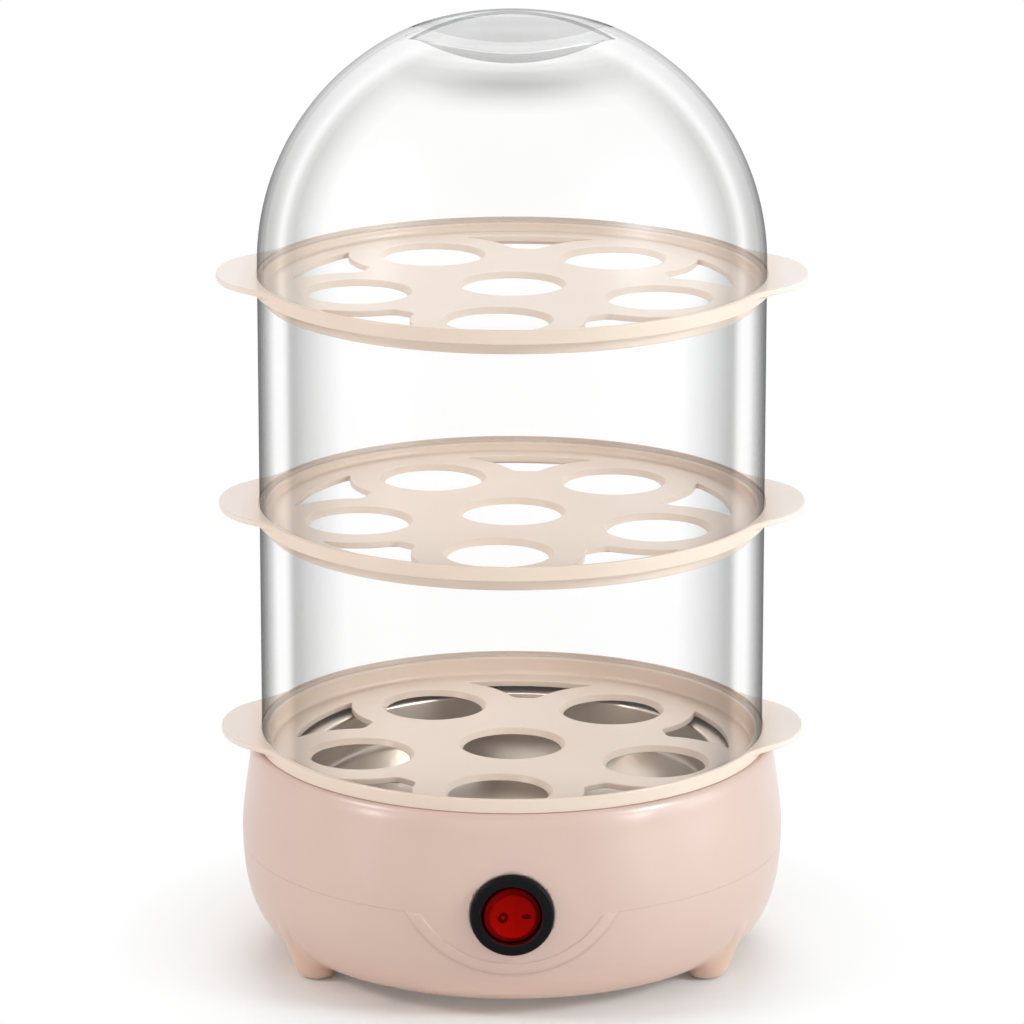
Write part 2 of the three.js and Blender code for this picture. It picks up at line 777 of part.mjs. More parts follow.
function heatingPlate() {
  const top = flangeBottom + plateThick;
  const wide = dishRadius + dishDraft;
  const floorTop = dishFloorHeight;
  const outline = [
    point2(0, dishBottom),
    point2(dishRadius - dishRound + plateThick, dishBottom),
    point2(dishRadius + plateThick, dishBottom + dishRound),
    point2(wide + plateThick, flangeBottom),
    point2(flangeRadius, flangeBottom),
    point2(flangeRadius, top),
    point2(wide, top),
    point2(dishRadius, floorTop + dishRound),
    point2(dishRadius - dishRound, floorTop),
    point2(0, floorTop),
  ];
  const stud = bar(studRadius, flangeBottom - studLength, flangeBottom + plateThick / 2);
  const strapPost = bar(
    screwRadius,
    underDish - thermostatHeight - fitGap - strapThick - nutHeight - fitGap,
    dishBottom + plateThick / 2,
  );
  return joined(
    revolved(outline),
    ...around(studCount, firstStudAngle, studRing, stud),
    ...around(2, 0, strapStud, strapPost),
  );
}

function plateGasket() {
  const low = shelfTop + fitGap;
  const slab = ring([
    point2(gasketInnerRadius, low),
    point2(flangeRadius, low),
    point2(flangeRadius, low + gasketThick),
    point2(gasketInnerRadius, low + gasketThick),
  ]);
  const hole = bar(studRadius + fitGap, low - overrun, low + gasketThick + overrun);
  return cut(slab, ...around(studCount, firstStudAngle, studRing, hole));
}

// A hexagon nut whose top face is at the given height.
function nut(top, threadRadius) {
  const hole = bar(threadRadius + fitGap, top - nutHeight - overrun, top + overrun);
  return cut(bar(nutRadius, top - nutHeight, top, nutSides), hole);
}

// Heating element: an open ring under the dish whose two ends turn down at the back.
function heatingElement() {
  const level = underDish - elementRadius;
  const half = elementOpenAngle / 2;
  const at = (shift, drop, side) => {
    const degrees = 90 + side * (half + THREE.MathUtils.radToDeg(shift / elementRing));
    const place = polar(elementRing, degrees);
    return new THREE.Vector3(place.x, place.y, level - drop);
  };
  const end = (side) => {
    const points = [at(0, elementTail, side)];
    for (let i = 0; i <= elementBendSteps; i += 1) {
      const turn = toRadians((90 * i) / elementBendSteps);
      const [shift, drop] = [1 - Math.cos(turn), 1 - Math.sin(turn)];
      points.push(at(elementBendRadius * shift, elementBendRadius * drop, side));
    }
    return points;
  };
  const sweep = 2 * Math.PI * elementRing * (1 - elementOpenAngle / 360) - 2 * elementBendRadius;
  const middle = Array.from({ length: elementTurns - 1 }, (_, i) => (
    at(elementBendRadius + (sweep * (i + 1)) / elementTurns, 0, 1)
  ));
  const points = [...end(1), ...middle, ...end(-1).reverse()];
  return tube(points, elementRadius, elementSides, elementSteps);
}

// A round rod or lead along a smooth curve through some points.
function tube(points, radius, sides, steps) {
  const section = new THREE.Shape();
  for (let i = 0; i < sides; i += 1) {
    const place = polar(radius, (360 * i) / sides);
    if (i === 0) section.moveTo(place.x, place.y);
    else section.lineTo(place.x, place.y);
  }
  const extrudePath = new THREE.CatmullRomCurve3(points);
  return solid(new THREE.ExtrudeGeometry(section, { steps, extrudePath }));
}

function thermostat() {
  const top = underDish;
  const low = top - thermostatHeight;
  const blade = (side) => block(
    [-bladeWidth / 2, side * bladeSet - bladeThick / 2, low - bladeLength],
    [bladeWidth / 2, side * bladeSet + bladeThick / 2, low + bladeThick],
  );
  return joined(bar(thermostatRadius, low, top, seatSides), blade(1), blade(-1));
}

function thermostatStrap() {
  const top = underDish - thermostatHeight - fitGap;
  const half = strapLength / 2;
  const slab = block([-half, -strapWidth / 2, top - strapThick], [half, strapWidth / 2, top]);
  const hole = bar(screwRadius + fitGap, top - strapThick - overrun, top + overrun);
  return cut(slab, ...around(2, 0, strapStud, hole));
}

function thermalFuse() {
  const lying = bar(fuseRadius, -fuseLength / 2, fuseLength / 2).rotate([0, 90, 0]);
  return lying.translate([0, fuseSet, underDish - fuseRadius]);
}

// A spring clip that holds the fuse up against the dish, open at its top.
function fuseClip() {
  const [inner, outer] = [fuseRadius + fitGap, fuseRadius + fitGap + clipThick];
  const level = underDish - fuseRadius;
  const [near, far] = [fuseSet - outer, fuseSet + outer];
  const wrap = bar(outer, -clipWidth / 2, clipWidth / 2).rotate([0, 90, 0])
    .translate([0, fuseSet, level]);
  const bore = bar(inner, -clipWidth, clipWidth).rotate([0, 90, 0]).translate([0, fuseSet, level]);
  const half = clipWidth / 2;
  const legs = block([-half, near, level], [half, far, underDish]);
  const above = level + outer + overrun;
  const slot = block([-clipWidth, fuseSet - inner, level], [clipWidth, fuseSet + inner, above]);
  const tab = block(
    [-half, far - clipThick, underDish - clipThick],
    [half, far + clipTab, underDish],
  );
  const cap = block([-clipWidth, near - overrun, underDish], [clipWidth, far + overrun, above]);
  return joined(cut(wrap.add(legs), bore, slot, cap), tab);
}

function terminalBlock() {
  const low = bottomInside + fitGap;
  const half = blockLength / 2;
  const near = blockSet - blockDepth / 2;
  const body = block([-half, near, low], [half, near + blockDepth, low + blockHeight]);
  const holes = Array.from({ length: blockPoles }, (_, i) => {
    const x = (i - (blockPoles - 1) / 2) * blockPolePitch;
    const across = bar(blockHoleRadius, near - overrun, near + blockDepth + overrun)
      .transform(matrixOf(layBack)).translate([x, 0, low + blockHeight / 2]);
    const down = bar(blockHoleRadius, low + blockHeight / 2, low + blockHeight + overrun)
      .translate([x, blockSet, 0]);
    return across.add(down);
  });
  return cut(body, ...holes);
}

// Grommet of the cord inlet: two flanges with the housing's wall between them.
function inletGrommet() {
  const back = inletFace - inletGrip - fitGap;
  const front = inletFace + fitGap;
  const body = ring([
    point2(inletBoreRadius, back - inletFlangeThick),
    point2(inletFlangeRadius - fitGap, back - inletFlangeThick),
    point2(inletFlangeRadius, back),
    point2(inletNeckRadius, back),
    point2(inletNeckRadius, front),
    point2(inletFlangeRadius, front),
    point2(inletFlangeRadius - fitGap, front + inletFlangeThick),
    point2(inletBoreRadius, front + inletFlangeThick),
  ], seatSides);
  return body.transform(matrixOf(layBack)).translate([0, 0, inletHeight]);
}

// Switch

// Bezel, barrel, rocker well, pivot holes and the two lugs behind the housing's wall.
function switchBody() {
  const [back, front] = [switchFace + fitGap, switchFront];
  const rear = back - barrelLength;
  const outline = [
    point2(0, rear),
    point2(barrelRadius, rear),
    point2(barrelRadius, back),
    point2(bezelRadius, back),
    point2(bezelRadius, front - bezelEdge),
    point2(bezelRadius - bezelEdge, front),
    point2(rockerWellRadius, front),
    point2(rockerWellRadius, front - rockerWellDepth),
    point2(0, front - rockerWellDepth),
  ];
  const body = revolved(outline, switchSides);
  const pin = bar(rockerPinRadius + fitGap, -barrelRadius - overrun, barrelRadius + overrun)
    .rotate([90, 0, 0]).translate([0, 0, rockerPivot]);
  const lugTop = switchFace - padBackThick - fitGap;
  const lug = block(
    [-barrelRadius - lugReach, -lugWidth / 2, lugTop - lugLength],
    [barrelRadius + lugReach, lugWidth / 2, lugTop],
  );
  const core = block(
    [-terminalSet - terminalWidth, -terminalWidth, rear - overrun],
    [terminalSet + terminalWidth, terminalWidth, rear + terminalRoot + fitGap],
  );
  const slots = [-1, 1].map((side) => block(
    [
      side * terminalSet - terminalThick / 2 - fitGap,
      -terminalWidth / 2 - fitGap,
      rear - overrun,
    ],
    [
      side * terminalSet + terminalThick / 2 + fitGap,
      terminalWidth / 2 + fitGap,
      rear + terminalRoot + fitGap,
    ],
  ));
  const wellKeep = bar(rockerWellRadius, front - rockerWellDepth, front + overrun, switchSides);
  const whole = joined(body, cut(lug, wellKeep, core));
  return cut(whole, pin, ...slots).transform(matrixOf(layForward)).translate([0, 0, switchHeight]);
}

// One blade at the switch's rear.
function switchTerminal(side) {
  const rear = switchFace + fitGap - barrelLength;
  const x = side * terminalSet;
  return block(
    [x - terminalThick / 2, -rear - terminalRoot, switchHeight - terminalWidth / 2],
    [x + terminalThick / 2, -rear + terminalLength, switchHeight + terminalWidth / 2],
  );
}

// Rocker, about its own pivot: two faces that meet in a shallow valley, a rounded back and pins.
// It is drawn in its middle place, and then turned to the side that is pressed in.
function switchRocker() {
  const tilt = toRadians(rockerThrow / 2);
  const rise = rockerRadius * Math.tan(tilt);
  const section = new THREE.Shape();
  section.moveTo(-rockerRadius, -rockerSet - rise);
  section.lineTo(0, -rockerSet);
  section.lineTo(rockerRadius, -rockerSet - rise);
  section.lineTo(rockerRadius, 0);
  section.absellipse(0, 0, rockerRadius - fitGap, rockerKeel, 0, Math.PI, false, 0);
  section.lineTo(-rockerRadius, 0);
  const slab = plate(section, -rockerRadius, rockerRadius, curveSteps * 2);
  const round = bar(rockerRadius, -rockerKeel - overrun, rockerSet + rise + overrun, seatSides)
    .rotate([90, 0, 0]);
  const pin = bar(rockerPinRadius, -rockerPinReach, rockerPinReach);
  return slab.intersect(round).add(pin).rotate([0, 0, rockerThrow / 2]);
}

// Internal leads, from the block to the switch and on to the parts under the dish
function leadRoutes() {
  const blockTop = bottomInside + fitGap + blockHeight;
  const switchRear = -(switchFace + fitGap - barrelLength) + terminalLength + leadEndGap;
  const thermostatLow = underDish - thermostatHeight - bladeLength - leadEndGap;
  const tailLow = underDish - elementRadius - elementTail - leadEndGap;
  const tails = [-1, 1].map((side) => polar(elementRing, 90 - (side * elementOpenAngle) / 2));
  const v = (x, y, z) => new THREE.Vector3(x, y, z);
  const rise = blockTop + leadEndGap;
  // Each end runs straight out of its terminal first.
  const lead = (from, fromWay, via, toWay, to) => [
    from,
    fromWay.clone().multiplyScalar(leadStartLength).add(from),
    ...via,
    toWay.clone().multiplyScalar(leadStartLength).add(to),
    to,
  ];
  const [down, up, back] = [v(0, 0, -1), v(0, 0, 1), v(0, 1, 0)];
  return {
    switch_lead_left: lead(
      v(-terminalSet, switchRear, switchHeight),
      back,
      [
        v(-blockPolePitch, -elementRing, rise),
        v(-blockPolePitch - leadSwingWidth, 0, rise),
        v(-blockPolePitch - leadTuckWidth, blockSet, rise),
      ],
      up,
      v(-blockPolePitch, blockSet, rise),
    ),
    switch_lead_right: lead(
      v(terminalSet, switchRear, switchHeight),
      back,
      [v(terminalSet / 2, -bladeSet - leadLoopLength, thermostatLow - leadSagDepth)],
      down,
      v(0, -bladeSet, thermostatLow),
    ),
    element_lead_left: lead(
      v(tails[0].x, tails[0].y, tailLow),
      down,
      [v(tails[0].x / 2, fuseSet, tailLow - leadSagDepth)],
      down,
      v(0, bladeSet, thermostatLow),
    ),
    element_lead_right: lead(
      v(tails[1].x, tails[1].y, tailLow),
      down,
      [],
      up,
      v(blockPolePitch, blockSet, rise),
    ),
  };
}

// The assembly
const cooker = new THREE.Group();
cooker.name = 'cooker';

function addTo(parent, name, body, material, place) {
  const mesh = new THREE.Mesh(geometryOf(body), material);
  mesh.name = name;
  if (place) mesh.position.copy(place);
  parent.add(mesh);
}

function addEach(parent, names, bodies, material) {
  names.forEach((name, i) => addTo(parent, name, bodies[i], material));
}

function addBase() {
  const base = new THREE.Group();
  addTo(base, 'upper_housing', upperHousing(), creamPlastic);
  addTo(base, 'lower_housing', lowerHousing(), creamPlastic);
  addEach(
    base,
    ['foot_pad_right', 'foot_pad_back', 'foot_pad_left'],
    around(footCount, firstFootAngle, footRing, bar(padRadius, 0, padThick)),
    rubber,
  );
  addEach(
    base,
    ['housing_screw_right', 'housing_screw_back', 'housing_screw_left'],
    around(bossCount, firstBossAngle, bossRing, housingScrew()),
    steel,
  );
  addTo(base, 'cord_inlet_grommet', inletGrommet(), darkRubber);
  addTo(base, 'terminal_block', terminalBlock(), ceramicWhite);
  cooker.add(base);
}

function addHeater() {
  const heater = new THREE.Group();
  const shelfNut = nut(shelfTop - shelfThick - fitGap, studRadius);
  const strapNut = nut(underDish - thermostatHeight - fitGap - strapThick - fitGap, screwRadius);
  addTo(heater, 'heating_plate', heatingPlate(), steel);
  addTo(heater, 'plate_gasket', plateGasket(), rubber);
  addEach(
    heater,
    ['plate_nut_right', 'plate_nut_left', 'plate_nut_front'],
    around(studCount, firstStudAngle, studRing, shelfNut),
    steel,
  );
  addTo(heater, 'heating_element', heatingElement(), steel);
  addTo(heater, 'thermostat', thermostat(), ceramicWhite);
  addTo(heater, 'thermostat_strap', thermostatStrap(), steel);
  addEach(heater, ['strap_nut_right', 'strap_nut_left'], around(2, 0, strapStud, strapNut), steel);
  addTo(heater, 'thermal_fuse', thermalFuse(), brass);
  addTo(heater, 'fuse_clip', fuseClip(), steel);
  cooker.add(heater);
}

function addSwitch() {
  const unit = new THREE.Group();
  addTo(unit, 'switch_body', switchBody(), blackPlastic);
  addTo(unit, 'switch_terminal_left', switchTerminal(-1), brass);
  addTo(unit, 'switch_terminal_right', switchTerminal(1), brass);
  const pivot = new THREE.Vector3(0, -rockerPivot, switchHeight);
  addTo(unit, 'switch_rocker', switchRocker(), redPlastic, pivot);
  cooker.add(unit);
}

function addLeads() {
  const leads = new THREE.Group();
  for (const [name, route] of Object.entries(leadRoutes())) {
    addTo(leads, name, tube(route, leadRadius, leadSides, leadSteps), leadSleeve);
  }
  cooker.add(leads);
}

function addTiers() {
  const tiers = new THREE.Group();
  const [low, middle, high] = rimHeights;
  const lowSkirt = low - lowFloorDrop - floorThick;
  addTo(tiers, 'bottom_tray', tray(low, lowFloorDrop, lowSkirtRadius, lowSkirt), creamPlastic);
  addTo(
    tiers,
    'middle_tray',
    tray(middle, floorDrop, upperSkirtRadius, middle - skirtDrop),
    creamPlastic,
  );
  addTo(tiers, 'top_tray', tray(high, floorDrop, upperSkirtRadius, high - skirtDrop), creamPlastic);
  const wall = (below, above) => clearTube(
    below - rebateDepth + fitGap,
    above - rimBand - fitGap,
  );
  addTo(tiers, 'lower_clear_wall', wall(low, middle), clearPlastic);
  addTo(tiers, 'upper_clear_wall', wall(middle, high), clearPlastic);
  addTo(tiers, 'dome_cover', domeCover(), clearPlastic);
  cooker.add(tiers);
}

addBase();
addHeater();
addSwitch();
addLeads();
addTiers();

export default cooker;
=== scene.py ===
"""Three-tier egg cooker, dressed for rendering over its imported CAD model.

Sizes are in millimetres and are turned into metres where a mesh is made.
"""
import json
import math

import bmesh
import bpy
from mathutils import Matrix, Vector
from mathutils.geometry import delaunay_2d_cdt

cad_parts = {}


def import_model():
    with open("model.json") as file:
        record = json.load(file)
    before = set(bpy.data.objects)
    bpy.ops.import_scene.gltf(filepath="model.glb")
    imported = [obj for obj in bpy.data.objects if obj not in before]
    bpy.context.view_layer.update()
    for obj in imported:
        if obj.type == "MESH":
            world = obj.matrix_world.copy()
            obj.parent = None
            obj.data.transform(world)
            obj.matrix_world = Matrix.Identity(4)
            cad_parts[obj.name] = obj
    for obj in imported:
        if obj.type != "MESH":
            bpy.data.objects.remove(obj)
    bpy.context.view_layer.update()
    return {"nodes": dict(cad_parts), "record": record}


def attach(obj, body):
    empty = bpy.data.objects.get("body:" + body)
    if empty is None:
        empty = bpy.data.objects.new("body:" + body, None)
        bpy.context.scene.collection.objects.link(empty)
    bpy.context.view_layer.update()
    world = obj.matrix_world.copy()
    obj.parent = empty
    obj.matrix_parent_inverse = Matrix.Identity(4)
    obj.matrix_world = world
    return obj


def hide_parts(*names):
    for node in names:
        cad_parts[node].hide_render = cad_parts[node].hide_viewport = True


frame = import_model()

MM = 0.001  # metres in a millimetre

# Sizes shared with the CAD model
FIT_GAP = 0.3
CLEAR_RADIUS = 80.0
CLEAR_WALL = 1.8
RIM_HEIGHTS = {"bottom": 73.2, "middle": 147.2, "top": 221.2}
RIM_RADIUS = 81.3
RIM_BAND = 4.3
RIM_UNDERCUT = 0.2
RIM_INNER = 77.6
REBATE_RADIUS = 80.3
REBATE_DEPTH = 1.5
SKIRT_WALL = 1.5
SKIRT_DROP = 8.3
SKIRT_RADIUS = 77.9
LOW_SKIRT_RADIUS = 79.1
FLOOR_THICK = 2.0
FLOOR_DROP = 4.0
LOW_FLOOR_DROP = 7.0
SEAT_COUNT = 5
SEAT_PITCH = 49.5
FIRST_SEAT = -95.0
SEAT_RADIUS = 15.5
SEAT_TOP_RADIUS = 17.0
LAND_RADIUS = 27.0
WINDOW_INNER = 50.5
WINDOW_OUTER = 69.5
WINDOW_CORNER = 2.4
EAR_CENTRE = 76.0
EAR_REACH = 16.9
EAR_HALF_WIDTH = 26.0
EAR_THICK = 2.0
EAR_BLEND_ANGLE = 26.0
EAR_OVAL_ANGLE = 50.0
EAR_BLEND_PULL = 8.0
EAR_OVAL_PULL = 7.0
EAR_GROWN = 1.2  # reach past the rim at which an ear's edges are fully rounded
DOME_FOOT = 220.0
DOME_CENTRE = 224.2
POCKET_TIP = (30.8, -10.5)
POCKET_BACK = -3.0
POCKET_FRONT = -32.0
POCKET_FLOOR = 69.0
POCKET_BOW = 117.6
BELLY_RADIUS = 86.5
BELLY_HEIGHT = 40.0
BOTTOM_HEIGHT = 3.0
BOTTOM_RADIUS = 60.0
SHOULDER_RADIUS = 83.5
BASE_TOP = 68.6
SHOULDER_HEIGHT = 66.2
MOUTH_RADIUS = 79.4
BASE_WALL = 2.2
SHELF_LOW = 57.0
SEAM_HEIGHT = 36.5
SEAM_DIP = 19.6
SEAM_HALF_CHORD = 33.0
SEAM_RADIUS = (SEAM_HALF_CHORD ** 2 + SEAM_DIP ** 2) / (2 * SEAM_DIP)
SEAM_CENTRE = SEAM_HEIGHT - SEAM_DIP + SEAM_RADIUS
FOOT_ANGLES = (-30.0, 90.0, 210.0)
FOOT_RING = 71.0
FOOT_LEAN = 0.27
FOOT_BLEND = 4.5
FOOT_OUTLINE = (
    (0.0, 0.4), (4.1, 0.4), (5.5, 0.95), (6.3, 2.2), (6.7, 4.0), (7.6, 12.0), (8.8, 20.0),
)
PAD_RADIUS = 3.6
PAD_THICK = 1.2
WELL_ANGLES = (0.0, 120.0, 240.0)
WELL_RING = 71.0
WELL_RADIUS = 3.4
WELL_TOP = 16.0
DISH_RADIUS = 63.5
DISH_FLOOR = 50.0
DISH_DRAFT = 0.8
PLATE_THICK = 1.2
FLANGE_LOW = 61.9
FLANGE_RADIUS = 78.0
SWITCH_HEIGHT = 37.4
SWITCH_BACK = 85.5
SWITCH_FRONT = 87.7
BEZEL_RADIUS = 13.0
BARREL_RADIUS = 11.0
BARREL_REAR = 68.5
WELL_IN_SWITCH = 9.4
SWITCH_WELL_DEPTH = 9.0
ROCKER_RADIUS = 8.8
ROCKER_PIVOT = 85.3
ROCKER_SET = 2.4
ROCKER_THROW = 16.0
MARK_RISE = 0.12
OFF_MARK = (-3.15, 1.15, 0.55)  # place across, radius of the ring, half its width
ON_MARK = (4.1, 0.1, 1.5, 0.75)  # place across and up, half its length, half its width
INLET_HEIGHT = 27.5
INLET_FACE = 85.2
INLET_BACK = 81.2
INLET_FLANGE = 7.5
INLET_NECK = 5.6
INLET_BORE = 3.6
INLET_THICK = 2.0

# Finish of the fine meshes
ROUND_SIDES = 192
TRAY_SIDES = 288
FOOT_SIDES = 56
EDGE_STEPS = 4
EDGE = 0.45  # reach of an ordinary edge's rounding
CLEAR_EDGE = 0.5
CLEAR_LIP = 0.6  # height of the dome's rounded foot
CAP_RADIUS = 45.0  # the top of the dome, meshed round its finger pockets
CAP_SPACING = 2.0
POCKET_EDGE = 0.9
INNER_POCKET_EDGE = 0.4
SEAM_GAP = 0.02  # the shells nearly touch, over rounded edges
SEAM_EDGE = 0.07
ROUND_START = 61.0  # where the shoulder begins to round over
BEAD_WIDTH = 4.4
BEAD_RISE = 0.6
SIDE_WIDTH = 1.0  # stands in for the bead's width where there is none
CUT_START = BELLY_RADIUS - 12  # reach of the tools that bore the housings
CUT_END = BELLY_RADIUS + 8

# Reach of the shades that the materials paint
DIM_LOW = 282.0
DIM_RISE = 13.0
DIM_HALF_WIDTH = 38.0
DIM_FRONT = -40.0
POCKET_LOW = 293.0
POCKET_RISE = 11.2
BEAD_SHADE = 5.0
BEAD_FRONT = -60.0
WARM_RISE = 30.0


# Curves and skins

def bezier(points, steps):
    """Places on the curve with these handles, both ends included."""
    places = []
    for k in range(steps + 1):
        level = [Vector(p) for p in points]
        while len(level) > 1:
            level = [a.lerp(b, k / steps) for a, b in zip(level, level[1:])]
        places.append(level[0])
    return places


def soften(outline, steps=EDGE_STEPS, closed=True):
    """An outline of (radius, height, reach), with a rounding that reaches so far at each corner."""
    places = []
    count = len(outline)
    for i, (x, z, reach) in enumerate(outline):
        here = Vector((x, z))
        if not reach or (not closed and i in (0, count - 1)):
            places.append(here)
            continue
        before = Vector(outline[i - 1][:2]) - here
        after = Vector(outline[(i + 1) % count][:2]) - here
        start = here + before.normalized() * reach
        end = here + after.normalized() * reach
        places += bezier([start, here, end], steps)
    return places


def between(table, place, otherwise):
    """The second number of a table of pairs, at a place in its first."""
    for (low, near), (high, far) in zip(table, table[1:]):
        if low <= place <= high:
            return near + (far - near) * (place - low) / max(high - low, 1e-9)
    return otherwise


def polar(radius, degrees):
    turn = math.radians(degrees)
    return Vector((radius * math.cos(turn), radius * math.sin(turn)))


def skin(rows, close_rows=True, close_round=True):
    """Vertices and faces over rows of equal length, each row one station of the round."""
    count, length = len(rows), len(rows[0])
    vertices = [tuple(p) for row in rows for p in row]
    faces = []
    for i in range(count if close_round else count - 1):
        for j in range(length if close_rows else length - 1):
            a, b = i * length, ((i + 1) % count) * length
            k = (j + 1) % length
            faces.append((a + j, b + j, b + k, a + k))
    return vertices, faces


def turned(section, degrees):
    """A section of (radius, height) stood up at an angle about the Z axis."""
    return [(*polar(r, degrees), z) for r, z in section]


def revolve(section, sides=ROUND_SIDES, closed=True):
    rows = [turned(section, 360 * i / sides) for i in range(sides)]
    return skin(rows, close_rows=closed)


def forward(vertices, height):
    """Lays a piece that stands on the Z axis forward, along -Y, at a height."""
    return [(x, -z, y + height) for x, y, z in vertices]


def backward(vertices, height):
    return [(-x, z, y + height) for x, y, z in vertices]


# Pieces

def placed(name, data):
    """An object of the scene with this data."""
    thing = bpy.data.objects.new(name, data)
    bpy.context.scene.collection.objects.link(thing)
    return thing


def mesh_of(name, parts):
    """A mesh from parts of (vertices, faces), its double vertices joined, its faces outwards."""
    vertices, faces = [], []
    for part_vertices, part_faces in parts:
        start = len(vertices)
        vertices += [Vector(v) * MM for v in part_vertices]
        faces += [tuple(start + i for i in face) for face in part_faces]
    mesh = bpy.data.meshes.new(name)
    mesh.from_pydata(vertices, [], faces)
    made = bmesh.new()
    made.from_mesh(mesh)
    bmesh.ops.remove_doubles(made, verts=made.verts, dist=0.001 * MM)
    bmesh.ops.recalc_face_normals(made, faces=made.faces)
    made.to_mesh(mesh)
    made.free()
    return mesh


def piece(name, parts, finish, body, replaces=(), flat=False):
    """A named mesh from parts of (vertices, faces), with its finish and body."""
    mesh = mesh_of(name, parts)
    mesh.materials.append(finish)
    for face in mesh.polygons:
        face.use_smooth = not (flat and abs(face.normal.z) > 0.999)
    thing = placed(name, mesh)
    even = thing.modifiers.new("even_normals", "WEIGHTED_NORMAL")
    even.weight = 80
    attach(thing, body)
    if replaces:
        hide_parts(*replaces)


def evaluated(thing):
    """Vertices and faces of an object once its curve or its modifiers are worked out."""
    bpy.context.view_layer.update()
    made = bpy.data.meshes.new_from_object(thing.evaluated_get(
        bpy.context.evaluated_depsgraph_get()
    ))
    vertices = [v.co.copy() for v in made.vertices]
    faces = [tuple(face.vertices) for face in made.polygons]
    bpy.data.meshes.remove(made)
    return vertices, faces


# Shader arithmetic

class Value:
    """A socket of a node tree; arithmetic on it adds Math nodes."""

    def __init__(self, finish, socket):
        self.finish = finish
        self.socket = socket

    def _with(self, operation, *others):
        node = self.finish.node("ShaderNodeMath", {"operation": operation})
        for target, value in zip(node.inputs, others):
            self.finish.feed(target, value)
        return Value(self.finish, node.outputs[0])

    def __add__(self, other):
        return self._with("ADD", self, other)

    def __radd__(self, other):
        return self._with("ADD", other, self)

    def __sub__(self, other):
        return self._with("SUBTRACT", self, other)

    def __rsub__(self, other):
        return self._with("SUBTRACT", other, self)

    def __mul__(self, other):
        return self._with("MULTIPLY", self, other)

    def __rmul__(self, other):
        return self._with("MULTIPLY", other, self)

    def __truediv__(self, other):
        return self._with("DIVIDE", self, other)

    def __rtruediv__(self, other):
        return self._with("DIVIDE", other, self)

    def __pow__(self, other):
        return self._with("POWER", self, other)


class Finish:
    """The nodes of a material, or of the world, under construction."""

    def __init__(self, made):
        self.made = made
        made.use_nodes = True
        self.tree = made.node_tree
        self.tree.nodes.clear()

    def node(self, kind, settings=None, inputs=None):
        made = self.tree.nodes.new(kind)
        for key, value in (settings or {}).items():
            setattr(made, key, value)
        for key, value in (inputs or {}).items():
            self.feed(made.inputs[key], value)
        return made

    def feed(self, target, value):
        if isinstance(value, Value):
            self.tree.links.new(value.socket, target)
        elif isinstance(value, bpy.types.NodeSocket):
            self.tree.links.new(value, target)
        elif isinstance(value, (tuple, list)) and len(value) == 3 and target.type == "RGBA":
            target.default_value = (*value, 1)
        else:
            target.default_value = value

    def value(self, kind, output, settings=None, inputs=None):
        return Value(self, self.node(kind, settings, inputs).outputs[output])

    def place(self):
        return self.value("ShaderNodeTexCoord", "Object")

    def axes(self, vector):
        """The X, Y and Z of a vector."""
        made = self.node("ShaderNodeSeparateXYZ", None, {"Vector": vector})
        return [Value(self, output) for output in made.outputs]

    def noise(self, scale, detail, at=None):
        """Cloudy noise of about 0 to 1; scale is in lumps to the metre."""
        return self.value("ShaderNodeTexNoise", "Fac", None, {
            "Vector": at or self.place(), "Scale": scale, "Detail": detail,
        })

    def mix(self, factor, first, second):
        """A colour between two colours."""
        made = self.node("ShaderNodeMix", {"data_type": "RGBA"}, {0: factor, 6: first, 7: second})
        return Value(self, made.outputs[2])

    def ramp(self, factor, stops):
        """A colour from a list of (position, colour)."""
        made = self.node("ShaderNodeValToRGB", None, {"Fac": factor})
        elements = made.color_ramp.elements
        while len(elements) < len(stops):
            elements.new(0.5)
        for element, (position, colour) in zip(elements, stops):
            element.position = position
            element.color = (*colour, 1)
        return Value(self, made.outputs["Color"])

    def curve(self, factor, stops):
        """A number from a list of (position, number) of 0 to 1."""
        return self.ramp(factor, [(position, (v, v, v)) for position, v in stops])

    def bump(self, height, distance):
        return self.value("ShaderNodeBump", "Normal", None, {
            "Height": height, "Distance": distance, "Strength": 1.0,
        })

    def principled(self, **inputs):
        named = {key.replace("_", " "): value for key, value in inputs.items()}
        return self.shader("ShaderNodeBsdfPrincipled", named)

    def shader(self, kind, inputs):
        return self.node(kind, None, inputs).outputs[0]

    def done(self, shader, output="ShaderNodeOutputMaterial"):
        self.node(output, None, {"Surface": shader})
        return self.made


def grained(name, colour, shade, roughness, depth=0.00002, tint=None, **more):
    """Moulded plastic or rubber: faint clouds in its colour and gloss, and a fine grain.

    tint is a function of (finish, colour) that changes the colour from place to place.
    """
    finish = Finish(bpy.data.materials.new(name))
    clouds = finish.noise(60.0, 3.0)
    fine = finish.noise(2600.0, 2.0)
    both = finish.mix(clouds, colour, shade)
    return finish.done(finish.principled(
        Base_Color=tint(finish, both) if tint else both,
        Roughness=roughness * (0.85 + clouds * 0.3),
        Normal=finish.bump(fine, depth),
        **more,
    ))


def spun(name, colour, shade, roughness):
    """Metal turned on its axis, with fine rings round it."""
    finish = Finish(bpy.data.materials.new(name))
    x, y, z = finish.axes(finish.place())
    radius = (x * x + y * y) ** 0.5
    at = finish.value("ShaderNodeCombineXYZ", 0, None, {"X": radius, "Z": z})
    rings = finish.noise(1400.0, 3.0, at)
    clouds = finish.noise(40.0, 2.0)
    return finish.done(finish.principled(
        Base_Color=finish.mix(clouds, colour, shade),
        Metallic=1.0,
        Roughness=roughness * (0.8 + rings * 0.4),
        Normal=finish.bump(rings, 0.00001),
    ))


